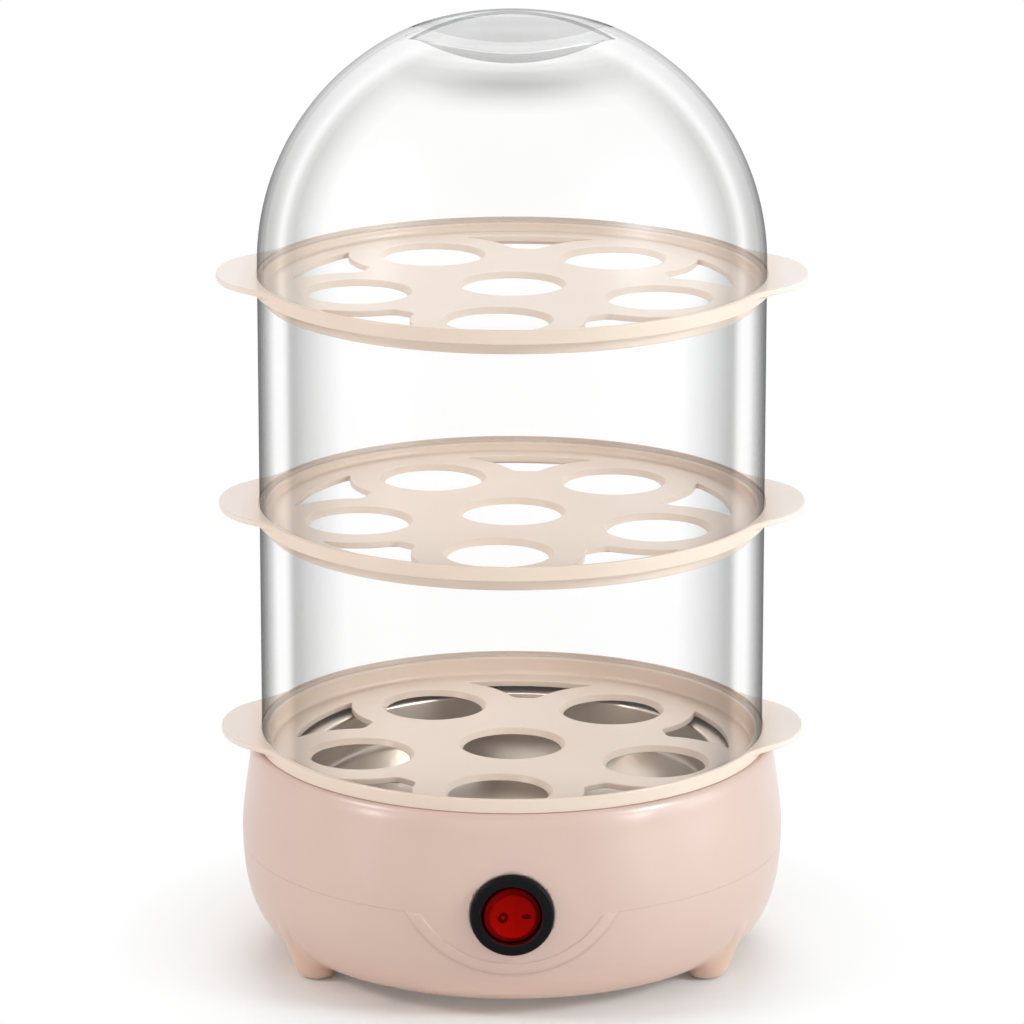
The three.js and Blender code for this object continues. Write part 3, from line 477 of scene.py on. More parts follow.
def shell_warmth_and_bead_shade(finish, colour):
    """Warms the base's plastic towards its feet, and paints shade in a soft band under the bead
    below the switch.
    """
    x, y, z = finish.axes(finish.place())
    up = z - SEAM_CENTRE * MM
    beyond = (x * x + up * up) ** 0.5 / (BEAD_SHADE * MM) - SEAM_RADIUS / BEAD_SHADE
    # painted shade: a soft dark band along the seam's arc, just under the bead, on the front only
    line = finish.curve(beyond + 0.5, [(0.2, 0), (0.42, 1), (0.55, 1), (0.75, 0)])
    front = finish.curve(y / (BEAD_FRONT * MM), [(0.5, 0), (0.8, 1)])
    dip = finish.curve(z / (SEAM_HEIGHT * MM), [(0.8, 1), (0.98, 0)])
    low = finish.curve(z / (WARM_RISE * MM), [(0.2, 1), (0.6, 0)])
    warm = finish.mix(low, colour, (0.67, 0.45, 0.34))
    return finish.mix(line * front * dip * 0.3, warm, (0.44, 0.28, 0.225))


def ear_painted_light(finish, colour):
    """Paints light on the trays' thin ears: whitens them, as the light falling on them would."""
    x = finish.axes(finish.place())[0]
    reach = x * x / (EAR_CENTRE * MM + EAR_REACH * MM) ** 2
    return finish.mix(finish.curve(reach, [(0.74, 0), (0.86, 1)]), colour, (0.76, 0.66, 0.60))


def off_switch(finish):
    """Distance from the switch's axis as a share of the rocker's radius, and the two ways of it."""
    x, _, z = finish.axes(finish.place())
    across, up = x / (ROCKER_RADIUS * MM), (z - SWITCH_HEIGHT * MM) / (ROCKER_RADIUS * MM)
    return (across * across + up * up) ** 0.5, across, up


def red_glow(finish, colour):
    """The rocker's red light on the wall of the well round it."""
    off = off_switch(finish)[0]
    return finish.mix(finish.curve(off * 0.5, [(0.51, 1), (0.555, 0)]), colour, (0.2, 0.003, 0.003))


def rocker_painted_shade(finish, colour):
    """Paints shade on the rocker's red: darker towards the upper right, and on the low ring round
    its table.
    """
    off, across, up = off_switch(finish)
    lean = finish.curve(0.5 + across * 0.25 + up * 0.35, [(0.1, 0), (0.9, 1)])
    red = finish.mix(lean, colour, (0.19, 0.001, 0.0002))
    side = finish.curve(off, [(0.84, 0), (1, 1)])
    low = finish.mix(side, (0.14, 0.001, 0.001), (0.11, 0.001, 0.001))
    return finish.mix(finish.curve(off, [(0.76, 0), (0.82, 1)]), red, low)


def clear(name, layers, tone=0.03, gloss=0.03, change=None):
    """Clear plastic: its cover follows how steeply a face is seen, with a faint gloss on top.

    Each layer is (stops by facing, stops by how far the face looks up), and the layers add up.
    tone is the grey of the cover, or a function of the finish that gives it. change is a
    function of (finish, cover) for more detail.
    """
    finish = Finish(bpy.data.materials.new(name))
    facing = finish.value("ShaderNodeLayerWeight", "Facing", None, {"Blend": 0.5})
    clouds = finish.noise(18.0, 2.0)
    level = finish.axes(finish.value("ShaderNodeNewGeometry", "Normal"))[2]
    cover = 0.0
    for by_facing, by_level in layers:
        layer = finish.curve(facing, by_facing)
        if by_level:
            layer = layer * finish.curve(level * level, by_level)
        cover = layer + cover
    cover = cover * (0.97 + clouds * 0.06)
    if change:
        cover = change(finish, cover)
    grey = tone(finish) if callable(tone) else tone * (1.03 - clouds * 0.06)
    body = finish.principled(
        Base_Color=grey,
        Roughness=0.6,
        Specular_IOR_Level=0.0,
        Alpha=cover,
    )
    shine = finish.shader("ShaderNodeBsdfGlossy", {"Color": (1, 1, 1), "Roughness": 0.35})
    return finish.done(finish.shader("ShaderNodeMixShader", {0: gloss, 1: body, 2: shine}))


def top_shade(finish, cover):
    """Adds the dim band in front of the dome's finger pockets."""
    x, y, z = finish.axes(finish.place())
    across = x / (DIM_HALF_WIDTH * MM)
    band = finish.curve((z - DIM_LOW * MM) / (DIM_RISE * MM), [
        (0, 0), (0.09, 0.1), (0.2, 0.25), (0.27, 0.37), (0.325, 0.53), (0.385, 0.65),
        (0.44, 0.77), (0.5, 0.9), (0.58, 1), (0.67, 0.875), (0.785, 0.67), (0.85, 0.385),
        (0.9, 0.3), (0.97, 0),
    ])
    front = finish.curve(y / (DIM_FRONT * MM), [(0, 0), (0.5, 1)])
    return cover + band * front * finish.curve(across * across, [(0, 0.46), (0.4, 0.24), (1, 0)])


def pocket_shade(finish, cover):
    """Thins the cover towards a finger pocket's top and back, and adds some on its front wall."""
    _, y, z = finish.axes(finish.place())
    level = (z - POCKET_LOW * MM) / (POCKET_RISE * MM)
    front = finish.curve(y / (POCKET_FRONT * MM), [(0.4, 0), (0.8, 1)])
    share = finish.curve(0.5 - y / (2 * POCKET_FRONT * MM), [(0.28, 1), (0.42, 0.5), (1, 0.45)])
    thinned = cover * share * finish.curve(level, [(0, 1), (0.35, 0.9), (0.7, 0.6), (1, 0.3)])
    return thinned + front * finish.curve(level, [(0, 0.07), (0.2, 0.02), (0.45, 0)])


def rim_painted_light(finish):
    """Painted shade and highlight on the pockets' rounded edges: dark where the two finger pockets
    meet, pale towards the front and the back as a painted highlight.
    """
    _, y, _ = finish.axes(finish.place())
    return finish.curve(y * y / (POCKET_FRONT * MM) ** 2, [(0.12, 0.03), (0.4, 0.92)])


BASE_FINISH = grained(
    "shell_plastic", (0.58, 0.40, 0.333), (0.605, 0.425, 0.356), 0.5, tint=shell_warmth_and_bead_shade,
    Coat_Weight=1.0, Coat_Roughness=0.28,
)
TRAY_FINISH = grained(
    "tray_plastic", (0.725, 0.58, 0.475), (0.75, 0.605, 0.50), 0.30, tint=ear_painted_light,
)
BLACK = grained(
    "switch_black", (0.004, 0.004, 0.005), (0.006, 0.006, 0.008), 0.42, tint=red_glow,
    Specular_IOR_Level=0.06, Coat_Weight=0.03, Coat_Roughness=0.2,
)
RED = grained(
    "rocker_red", (0.30, 0.001, 0.0002), (0.33, 0.0015, 0.0004), 0.35, 0.00001, rocker_painted_shade,
    Specular_IOR_Level=0.02,
)
MARK = grained(
    "mark_dark", (0.06, 0.001, 0.001), (0.085, 0.002, 0.002), 0.5, Specular_IOR_Level=0.0,
)
PALE_RUBBER = grained("pale_rubber", (0.80, 0.76, 0.70), (0.84, 0.80, 0.74), 0.75, depth=0.00006)
DARK_RUBBER = grained("dark_rubber", (0.02, 0.02, 0.022), (0.03, 0.03, 0.033), 0.7, depth=0.00006)
CERAMIC = grained("ceramic_white", (0.84, 0.82, 0.78), (0.88, 0.86, 0.83), 0.35)
SLEEVE = grained("lead_sleeve", (0.66, 0.63, 0.57), (0.72, 0.69, 0.63), 0.55)
# The steel's colour is partly its own tone and partly painted shade and a painted warm reflection
# inside the base.
STEEL = spun("steel", (0.53, 0.46, 0.395), (0.60, 0.53, 0.465), 0.32)
BRASS = spun("brass", (0.60, 0.43, 0.18), (0.68, 0.50, 0.24), 0.3)
# The cover's stops give a dark outline at the edge and, further in, a clear band and a grey band,
# which are painted reflections of the studio.
WALL_CLEAR = clear("clear_wall", [([
    (0.0, 0.0), (0.28, 0.01), (0.36, 0.10), (0.438, 0.20), (0.49, 0.28), (0.515, 0.28),
    (0.529, 0.236), (0.543, 0.15), (0.557, 0.075), (0.573, 0.027), (0.589, 0.0), (0.641, 0.005),
    (0.661, 0.036), (0.682, 0.093), (0.705, 0.172), (0.731, 0.25), (0.759, 0.31),
    (0.79, 0.395), (0.829, 0.515), (0.878, 0.59), (0.93, 0.64), (1.0, 0.68),
], None)])
DOME_CLEAR = clear("clear_dome", [
    ([  # the sharp outline
        (0.74, 0.0), (0.767, 0.045), (0.803, 0.124), (0.824, 0.165), (0.847, 0.21),
        (0.875, 0.26), (0.912, 0.31), (1.0, 0.38),
    ], [(0, 1), (0.167, 0.85), (0.467, 0.75), (0.77, 0.65), (1, 0.6)]),
    ([  # the soft shade along it
        (0.575, 0.0), (0.593, 0.02), (0.631, 0.13), (0.662, 0.19), (0.697, 0.24), (0.737, 0.25),
    ], [(0, 1), (0.167, 0.7), (0.467, 0.3), (0.77, 0.15), (1, 0.12)]),
    ([  # the band inside it, a painted reflection of the studio
        (0.34, 0.01), (0.40, 0.08), (0.45, 0.16), (0.488, 0.215), (0.53, 0.155), (0.56, 0.05),
        (0.585, 0.005),
    ], [(0, 1), (0.167, 0.9), (0.307, 0.83), (0.467, 0.57), (0.63, 0.3), (0.8, 0.1), (1, 0)]),
], change=top_shade)
INNER_CLEAR = clear("clear_inner", [([(0.8, 0.0), (1.0, 0.12)], None)], 0.3, 0.01)
POCKET_CLEAR = clear(
    "clear_pocket", [([(0.5, 0.29), (0.7, 0.2)], None)], 0.08, 0.02, pocket_shade,
)
EDGE_CLEAR = clear("clear_edge", [([(0.0, 0.45), (1.0, 0.55)], None)], rim_painted_light)
LIP_CLEAR = clear("clear_lip", [([(0.0, 0.05), (1.0, 0.18)], None)], 0.7, 0.05)

CAD_FINISHES = {
    "steel": STEEL,
    "brass": BRASS,
    "ceramic": CERAMIC,
    "lead_sleeve": SLEEVE,
    "pale_rubber": PALE_RUBBER,
    "dark_rubber": DARK_RUBBER,
    "cream_plastic": BASE_FINISH,
    "black_plastic": BLACK,
    "red_plastic": RED,
    "clear_plastic": WALL_CLEAR,
}


# Trays

def ear_outline():
    """Radius of the tray's outside by angle from an ear's middle, as (degrees, radius) pairs."""
    start = polar(RIM_RADIUS, EAR_BLEND_ANGLE)
    along = polar(EAR_BLEND_PULL, EAR_BLEND_ANGLE - 90)
    turn = math.radians(EAR_OVAL_ANGLE)
    meet = Vector((EAR_CENTRE + EAR_REACH * math.cos(turn), EAR_HALF_WIDTH * math.sin(turn)))
    leave = Vector((EAR_REACH * math.sin(turn), -EAR_HALF_WIDTH * math.cos(turn)))
    leave = leave.normalized() * EAR_OVAL_PULL
    places = bezier([start, start + along, meet - leave, meet], 16)
    for k in range(1, 17):
        angle = turn * (1 - k / 16)
        places.append(Vector((
            EAR_CENTRE + EAR_REACH * math.cos(angle), EAR_HALF_WIDTH * math.sin(angle),
        )))
    return [(math.degrees(math.atan2(p.y, p.x)), p.length) for p in reversed(places)]


EAR = ear_outline()


def ear_radius(degrees):
    """Outside radius of the tray at an angle, ears included."""
    return between(EAR, abs((degrees + 90) % 180 - 90), RIM_RADIUS)


def tray_section(rim, skirt, low, floor, degrees):
    """Section of the tray's ring at an angle; the ear is a shelf that grows out of the rim."""
    reach = ear_radius(degrees)
    grown = min(1.0, (reach - RIM_RADIUS) / EAR_GROWN)
    inner = skirt - SKIRT_WALL
    under = rim - EAR_THICK
    band = rim - RIM_BAND - RIM_UNDERCUT
    return soften([
        (inner, low, EDGE),
        (skirt, low, EDGE),
        (skirt, band, EDGE / 2),
        (RIM_RADIUS, band, 0.25),
        (RIM_RADIUS, under, 0.01 + 0.7 * grown),
        (reach, under, 0.01 + 0.55 * grown),
        (reach, rim, 0.6),
        (REBATE_RADIUS, rim, 0.2),
        (REBATE_RADIUS, rim - REBATE_DEPTH, 0.2),
        (RIM_INNER, rim - REBATE_DEPTH, 0.4),
        (RIM_INNER, floor - 0.02, 1.4),
        (RIM_INNER - 2.2, floor - 0.08, 0),
        (inner, floor - FLOOR_THICK / 2, 0),
    ])


def window_loop(middle):
    """Outline of a window between two outer seats, clockwise."""
    def spread(radius):
        share = (radius ** 2 + SEAT_PITCH ** 2 - LAND_RADIUS ** 2) / (2 * radius * SEAT_PITCH)
        return 180 / SEAT_COUNT - math.degrees(math.acos(share))

    inner, outer = spread(WINDOW_INNER), spread(WINDOW_OUTER)
    corners = [
        polar(WINDOW_INNER, middle - inner), polar(WINDOW_OUTER, middle - outer),
        polar(WINDOW_OUTER, middle + outer), polar(WINDOW_INNER, middle + inner),
    ]
    seats = [polar(SEAT_PITCH, middle + side * 180 / SEAT_COUNT) for side in (-1, 1)]
    centres = [seats[0], Vector((0, 0)), seats[1], Vector((0, 0))]
    sides = []
    for i, corner in enumerate(corners):
        centre = centres[i]
        first, last = corner - centre, corners[(i + 1) % 4] - centre
        sweep = math.atan2(first.x * last.y - first.y * last.x, first.dot(last))
        trim = math.copysign(min(WINDOW_CORNER / first.length, abs(sweep) / 3), sweep)
        steps = 12
        side = []
        for k in range(steps + 1):
            turn = trim + (sweep - 2 * trim) * k / steps
            side.append(centre + Matrix.Rotation(turn, 2) @ first)
        sides.append(side)
    loop = []
    for i, side in enumerate(sides):
        corner = corners[(i + 1) % 4]
        loop += side + bezier([side[-1], corner, sides[(i + 1) % 4][0]], 6)[1:-1]
    return loop


def circle(centre, radius, sides):
    return [centre + polar(radius, 360 * k / sides) for k in range(sides)]


def plate_mesh(name, outer, holes, low, high, edge):
    """A flat plate with rounded edges, from its outline and the outlines of its holes."""
    curve = bpy.data.curves.new(name, "CURVE")
    curve.dimensions = "2D"
    curve.fill_mode = "BOTH"
    curve.extrude = (high - low) / 2 - edge
    curve.bevel_depth = edge
    curve.bevel_resolution = 2
    curve.offset = -edge
    for loop in [outer, *holes]:
        spline = curve.splines.new("POLY")
        spline.points.add(len(loop) - 1)
        for place, point in zip(loop, spline.points):
            point.co = (place.x, place.y, 0, 1)
        spline.use_cyclic_u = True
    holder = placed(name, curve)
    vertices, faces = evaluated(holder)
    bpy.data.objects.remove(holder)
    bpy.data.curves.remove(curve)
    return [(x, y, z + (low + high) / 2) for x, y, z in vertices], faces


def coned(vertices, centres, top):
    """Leans the walls of the seats, which narrow downwards from their top."""
    slope = (SEAT_TOP_RADIUS - SEAT_RADIUS) / FLOOR_THICK
    leaned = []
    for x, y, z in vertices:
        for centre in centres:
            away = Vector((x, y)) - centre
            if away.length < SEAT_TOP_RADIUS + 1:
                shift = away.normalized() * slope * (top - z)
                x, y = x - shift.x, y - shift.y
        leaned.append((x, y, z))
    return leaned


def tray(tier):
    lowest = tier == "bottom"
    rim = RIM_HEIGHTS[tier]
    skirt = LOW_SKIRT_RADIUS if lowest else SKIRT_RADIUS
    floor = rim - (LOW_FLOOR_DROP if lowest else FLOOR_DROP)
    low = floor - FLOOR_THICK if lowest else rim - SKIRT_DROP
    rows = []
    for i in range(TRAY_SIDES):
        degrees = 360 * i / TRAY_SIDES
        rows.append(turned(tray_section(rim, skirt, low, floor, degrees), degrees))
    centres = [Vector((0, 0))]
    centres += [polar(SEAT_PITCH, FIRST_SEAT + 72 * i) for i in range(SEAT_COUNT)]
    holes = [circle(centre, SEAT_TOP_RADIUS, 64)[::-1] for centre in centres]
    holes += [window_loop(FIRST_SEAT + 72 * (i + 0.5)) for i in range(SEAT_COUNT)]
    outer = circle(Vector((0, 0)), skirt - SKIRT_WALL / 2, 144)
    vertices, faces = plate_mesh("floor", outer, holes, floor - FLOOR_THICK, floor, 0.35)
    vertices = coned(vertices, centres, floor)
    name, slot = tier + "_tray", "cream_plastic"
    piece(name + "_ring", [skin(rows)], TRAY_FINISH, name, [name])
    piece(name + "_floor", [(vertices, faces)], TRAY_FINISH, name, flat=True)


# Clear walls and dome

def clear_lip(end, start):
    """The rounded end of a clear wall or of the dome, from the height where it starts."""
    inner = CLEAR_RADIUS - CLEAR_WALL
    return revolve(soften([
        (CLEAR_RADIUS, start, 0), (CLEAR_RADIUS, end, CLEAR_EDGE),
        (inner, end, CLEAR_EDGE), (inner, start, 0),
    ], closed=False), closed=False)


def clear_wall(tier, below, above):
    low = RIM_HEIGHTS[below] - REBATE_DEPTH + FIT_GAP
    high = RIM_HEIGHTS[above] - RIM_BAND - FIT_GAP
    inner = CLEAR_RADIUS - CLEAR_WALL
    name = tier + "_clear_wall"
    start, end = low + CLEAR_EDGE, high - CLEAR_EDGE

    def tube(radius):
        return revolve([Vector((radius, start)), Vector((radius, end))], closed=False)

    piece(name + "_outside", [tube(CLEAR_RADIUS)], WALL_CLEAR, name, [name])
    piece(name + "_inside", [tube(inner)], INNER_CLEAR, name)
    lips = [clear_lip(low, start), clear_lip(high, end)]
    piece(name + "_lips", lips, LIP_CLEAR, name)


def pocket_loop(grow, back_sign):
    """The half-moon outline of a finger pocket, grown on all sides, anticlockwise."""
    tip, level = POCKET_TIP[0] + grow * 1.5, POCKET_TIP[1]
    loop = []
    for side, middle in ((tip, POCKET_FRONT - grow), (-tip, POCKET_BACK + grow)):
        loop += bezier([(-side, level), (0, middle * 2 - level), (side, level)], 28)[1:]
    return [p * back_sign for p in loop]


def offset_loop(loop, distance):
    """A closed anticlockwise loop moved outwards by a distance."""
    moved = []
    for i, place in enumerate(loop):
        before = (place - loop[i - 1]).normalized()
        after = (loop[(i + 1) % len(loop)] - place).normalized()
        way = before + after
        normal = Vector((way.y, -way.x)).normalized()
        lean = max(0.5, normal.dot(Vector((before.y, -before.x))))
        moved.append(place + normal * distance / lean)
    return moved


def inside_loop(place, loop):
    """True if a place lies inside a closed loop."""
    inside = False
    for a, b in zip(loop, loop[1:] + loop[:1]):
        if (a.y > place.y) != (b.y > place.y):
            if place.x < a.x + (b.x - a.x) * (place.y - a.y) / (b.y - a.y):
                inside = not inside
    return inside


def pocket_floor(across, grow):
    """Height of a finger pocket's bowed floor at a distance across from its middle."""
    middle = DOME_CENTRE + POCKET_FLOOR + POCKET_BOW
    return middle - math.sqrt((POCKET_BOW + grow) ** 2 - across ** 2)


def lens_faces(count):
    """Faces across a closed loop whose two halves mirror each other, from tip to tip."""
    half = count // 2
    near = [count - 1, *range(half)]
    far = list(range(count - 1, half - 2, -1))
    return [tuple(dict.fromkeys((near[i], near[i + 1], far[i + 1], far[i]))) for i in range(half)]


def pocket_parts(loop, rim, height, grow, edge):
    """The rounded edge of a finger pocket, its wall and its floor."""
    def floor_at(place):
        return min(pocket_floor(place.x, grow), height(place) - 0.04)

    falls = [min(edge, (height(q) - floor_at(q)) / 2) for q in rim]
    turns = [math.radians(18 * k) for k in range(6)]
    rounding, well = [], []
    for turn in turns:
        ring = zip(offset_loop(loop, edge * (1 - math.sin(turn))), rim, falls)
        rounding.append([(*p, height(q) - fall * (1 - math.cos(turn))) for p, q, fall in ring])
    for turn in turns:
        ring = zip(offset_loop(loop, -edge * (1 - math.cos(turn))), falls)
        well.append([(*p, floor_at(p) + fall * (1 - math.sin(turn))) for p, fall in ring])
    walls = skin([rounding[-1], *well], close_round=False)
    return skin(rounding, close_round=False), walls, (well[-1], lens_faces(len(loop)))


def dome_skin(radius, grow, edge):
    """One side of the dome: a revolved part and a cap with two finger pockets."""
    def height(place):
        return DOME_CENTRE + math.sqrt(radius ** 2 - place.length_squared)

    steps = 26
    limit = math.acos(CAP_RADIUS / radius)
    section = [Vector((radius, DOME_FOOT + CLEAR_LIP)), Vector((radius, DOME_CENTRE))]
    for k in range(1, steps + 1):
        turn = limit * k / steps
        section.append(Vector((radius * math.cos(turn), DOME_CENTRE + radius * math.sin(turn))))
    parts = [revolve(section, closed=False)]
    ring = circle(Vector((0, 0)), CAP_RADIUS, ROUND_SIDES)
    loops = [pocket_loop(grow, sign) for sign in (1, -1)]
    rims = [offset_loop(loop, edge) for loop in loops]
    keep_out = [offset_loop(loop, edge + 0.8) for loop in loops]
    places = list(ring)
    edges = [(i, (i + 1) % len(ring)) for i in range(len(ring))]
    for rim in rims:
        start = len(places)
        edges += [(start + i, start + (i + 1) % len(rim)) for i in range(len(rim))]
        places += rim
    span = int(CAP_RADIUS / CAP_SPACING) + 1
    for i in range(-span, span + 1):
        for j in range(-span, span + 1):
            place = Vector((CAP_SPACING * (i + 0.5 * (j % 2)), CAP_SPACING * 0.87 * j))
            if place.length < CAP_RADIUS - 1 and not any(inside_loop(place, k) for k in keep_out):
                places.append(place)
    flat, _, triangles, *_ = delaunay_2d_cdt(places, edges, [], 0, 1e-5)
    faces = []
    for triangle in triangles:
        middle = sum((flat[i] for i in triangle), Vector((0, 0))) / len(triangle)
        if not any(inside_loop(middle, rim) for rim in rims):
            faces.append(tuple(triangle))
    parts.append(([(*p, height(p)) for p in flat], faces))
    edges, wells = [], []
    for loop, rim in zip(loops, rims):
        rounding, walls, floor = pocket_parts(loop, rim, height, grow, edge)
        edges.append(rounding)
        wells += [walls, floor]
    return parts, edges, wells


def dome():
    foot = clear_lip(DOME_FOOT, DOME_FOOT + CLEAR_LIP)
    shell, edges, wells = dome_skin(CLEAR_RADIUS, 0.0, POCKET_EDGE)
    body, slot = "dome_cover", "clear_plastic"
    piece("dome_outside", shell, DOME_CLEAR, body, ["dome_cover"])
    piece("dome_pocket_edges", edges, EDGE_CLEAR, body)
    piece("dome_pockets", wells, POCKET_CLEAR, body)
    piece("dome_foot", [foot], LIP_CLEAR, body)
    inside = dome_skin(CLEAR_RADIUS - CLEAR_WALL, CLEAR_WALL, INNER_POCKET_EDGE)
    piece("dome_inside", sum(inside, []), INNER_CLEAR, body)


# Base

def body_outline():
    """Outline of the base from its underside to its top edge, as (radius, height)."""
    edge = Vector((BOTTOM_RADIUS, BOTTOM_HEIGHT))
    belly = Vector((BELLY_RADIUS, BELLY_HEIGHT))
    shoulder = Vector((SHOULDER_RADIUS, SHOULDER_HEIGHT))
    rise = shoulder.y - belly.y
    lower = bezier([
        edge,
        Vector((edge.x + (belly.x - edge.x) * 0.68, edge.y)),
        Vector((belly.x, edge.y + (belly.y - edge.y) * 0.27)),
        belly,
    ], 28)
    upper = bezier([
        belly,
        Vector((belly.x, belly.y + rise * 0.3)),
        Vector((shoulder.x + (belly.x - shoulder.x) * 0.25, shoulder.y - rise * 0.25)),
        shoulder,
    ], 18)
    return lower + upper[1:]


BODY = body_outline()
RADIUS_AT = [(p.y, p.x) for p in BODY]
UNDERSIDE_AT = [(p.x, p.y) for p in BODY]


def body_radius(height):
    """Outside radius of the base at a height."""
    return between(RADIUS_AT, height, BODY[-1 if height > BODY[-1].y else 0].x)


BEAD = (  # share of the width up from the part line, share of the rise
    (0.1, 0.2), (0.2, 0.45), (0.35, 0.78), (0.55, 1.0), (0.75, 1.0),
    (0.87, 0.94), (0.92, 0.75), (0.96, 0.3), (1.0, 0.0),
)
NEAR_SEAM = (0.0, 0.03, 0.07)
UNDER_SEAM = (0.0, 0.03, 0.07, 0.1, 0.5, 1.2, 2.4, 4.0, 6.4)


def seam_at(degrees):
    """Height of the part line at an angle from the front, with the width and rise of its bead."""
    height = SEAM_HEIGHT
    if abs(degrees) > 60:
        return height, SIDE_WIDTH, 0.0
    for _ in range(20):
        across = abs(body_radius(height) * math.sin(math.radians(degrees)))
        if across >= SEAM_HALF_CHORD:
            return SEAM_HEIGHT, SIDE_WIDTH, 0.0
        height = SEAM_CENTRE - math.sqrt(SEAM_RADIUS ** 2 - across ** 2)
    top = SEAM_CENTRE - math.sqrt((SEAM_RADIUS - BEAD_WIDTH) ** 2 - across ** 2)
    width = max(SIDE_WIDTH, min(top, SEAM_HEIGHT) - height)
    return height, width, BEAD_RISE * min(1.0, (SEAM_HALF_CHORD - across) / 3)


def columns():
    """Angles from the front, with one on each end of the seam's arc."""
    end = math.degrees(math.asin(SEAM_HALF_CHORD / body_radius(SEAM_HEIGHT)))
    front = [end * k / 36 for k in range(-36, 36)]
    rest = [end + (360 - 2 * end) * k / 180 for k in range(180)]
    return front + rest


def edge_inset(distance):
    """How far a rounded edge of the part line stands back, at a distance from the line."""
    if distance >= SEAM_EDGE:
        return 0.0
    return SEAM_EDGE - math.sqrt(SEAM_EDGE ** 2 - (SEAM_EDGE - distance) ** 2)


def upper_section(degrees):
    seam, width, rise = seam_at(degrees)
    low = seam + SEAM_GAP / 2
    outside = []
    for step in NEAR_SEAM:
        outside.append(Vector((body_radius(low + step) - edge_inset(step), low + step)))
    for share, level in BEAD:
        height = low + share * width
        outside.append(Vector((body_radius(height) + rise * level, height)))
    first = outside[-1].y
    for k in range(1, 27):
        height = first + (ROUND_START - first) * (k / 26) ** 1.2
        outside.append(Vector((body_radius(height), height)))
    outside += bezier([
        outside[-1], outside[-1] + Vector((-0.4, 4.2)),
        Vector((RIM_RADIUS + 1.8, BASE_TOP - 0.1)), Vector((RIM_RADIUS, BASE_TOP)),
    ], 14)[1:]
    inside = soften([
        (RIM_RADIUS, BASE_TOP, 0),
        (MOUTH_RADIUS, BASE_TOP, 0.5),
        (MOUTH_RADIUS, SHELF_LOW, 0),
    ], closed=False)[1:]
    for k in range(13):
        height = SHELF_LOW + (low - SHELF_LOW) * k / 12
        inside.append(Vector((body_radius(height) - BASE_WALL, height)))
    return outside + inside


def lower_section(degrees):
    high = seam_at(degrees)[0] - SEAM_GAP / 2
    outside = [Vector((0, BOTTOM_HEIGHT)), Vector((30, BOTTOM_HEIGHT))]
    below = high - UNDER_SEAM[-1]
    for k in range(33):
        turn = math.radians(90 * k / 32)
        height = BOTTOM_HEIGHT + (below - BOTTOM_HEIGHT) * (1 - math.cos(turn))
        outside.append(Vector((body_radius(height), height)))
    for step in UNDER_SEAM[-2::-1]:
        outside.append(Vector((body_radius(high - step) - edge_inset(step), high - step)))
    inside = []
    for k in range(17):
        height = high + (BOTTOM_HEIGHT + BASE_WALL - high) * k / 16
        inside.append(Vector((max(body_radius(height) - BASE_WALL, BOTTOM_RADIUS - 2), height)))
    inside.append(Vector((0, BOTTOM_HEIGHT + BASE_WALL)))
    return outside + inside


def bored(part, cutters):
    """A part with the shapes of the cutters taken out of it."""
    body, *tools = [placed("blank", mesh_of("blank", [solid])) for solid in (part, *cutters)]
    for tool in tools:
        cut = body.modifiers.new("cut", "BOOLEAN")
        cut.operation = "DIFFERENCE"
        cut.solver = "EXACT"
        cut.object = tool
    vertices, faces = evaluated(body)
    for thing in [body, *tools]:
        mesh = thing.data
        bpy.data.objects.remove(thing)
        bpy.data.meshes.remove(mesh)
    return [v / MM for v in vertices], faces


def stepped_tool(bore, face, seat, sides):
    """A cutter for a bore with a flat seat, standing on the Z axis."""
    return revolve([Vector(p) for p in (
        (0, CUT_START), (bore, CUT_START), (bore, face),
        (seat, face), (seat, CUT_END), (0, CUT_END),
    )], sides, closed=False)


def well_cup(degrees):
    """The wall of a screw well, from the underside up to the screw's seat."""
    centre = polar(WELL_RING, degrees)
    rows = []
    for place in circle(centre, WELL_RADIUS, 40):
        inner = centre + (place - centre) * 0.45
        rows.append([
            (*place, between(UNDERSIDE_AT, place.length, BOTTOM_HEIGHT)),
            (*place, WELL_TOP), (*inner, WELL_TOP),
        ])
    return skin(rows, close_rows=False)


def housings():
    angles = columns()
    upper = [turned(upper_section(a if a < 180 else a - 360), a - 90) for a in angles]
    lower = [turned(lower_section(a if a < 180 else a - 360), a - 90) for a in angles]
    body, slot = "base", "cream_plastic"
    seat = stepped_tool(
        BARREL_RADIUS + FIT_GAP, SWITCH_BACK - FIT_GAP, BEZEL_RADIUS + FIT_GAP, 96,
    )
    upper_part = bored(skin(upper), [(forward(seat[0], SWITCH_HEIGHT), seat[1])])
    piece("upper_shell", [upper_part], BASE_FINISH, body, ["upper_housing"])
    recess = stepped_tool(INLET_NECK + FIT_GAP, INLET_FACE, INLET_FLANGE + FIT_GAP, 64)
    tools = [(backward(recess[0], INLET_HEIGHT), recess[1])]
    for degrees in WELL_ANGLES:
        x, y = polar(WELL_RING, degrees)
        section = ((0, 0), (WELL_RADIUS, 0), (WELL_RADIUS, WELL_TOP), (0, WELL_TOP))
        well = revolve([Vector(p) for p in section], 40, closed=False)
        tools.append(([(vx + x, vy + y, vz) for vx, vy, vz in well[0]], well[1]))
    piece("lower_shell", [bored(skin(lower), tools)], BASE_FINISH, body, ["lower_housing"])
    piece("screw_wells", [well_cup(a) for a in WELL_ANGLES], BASE_FINISH, body)
    piece("feet", [foot(angle) for angle in FOOT_ANGLES], BASE_FINISH, body)


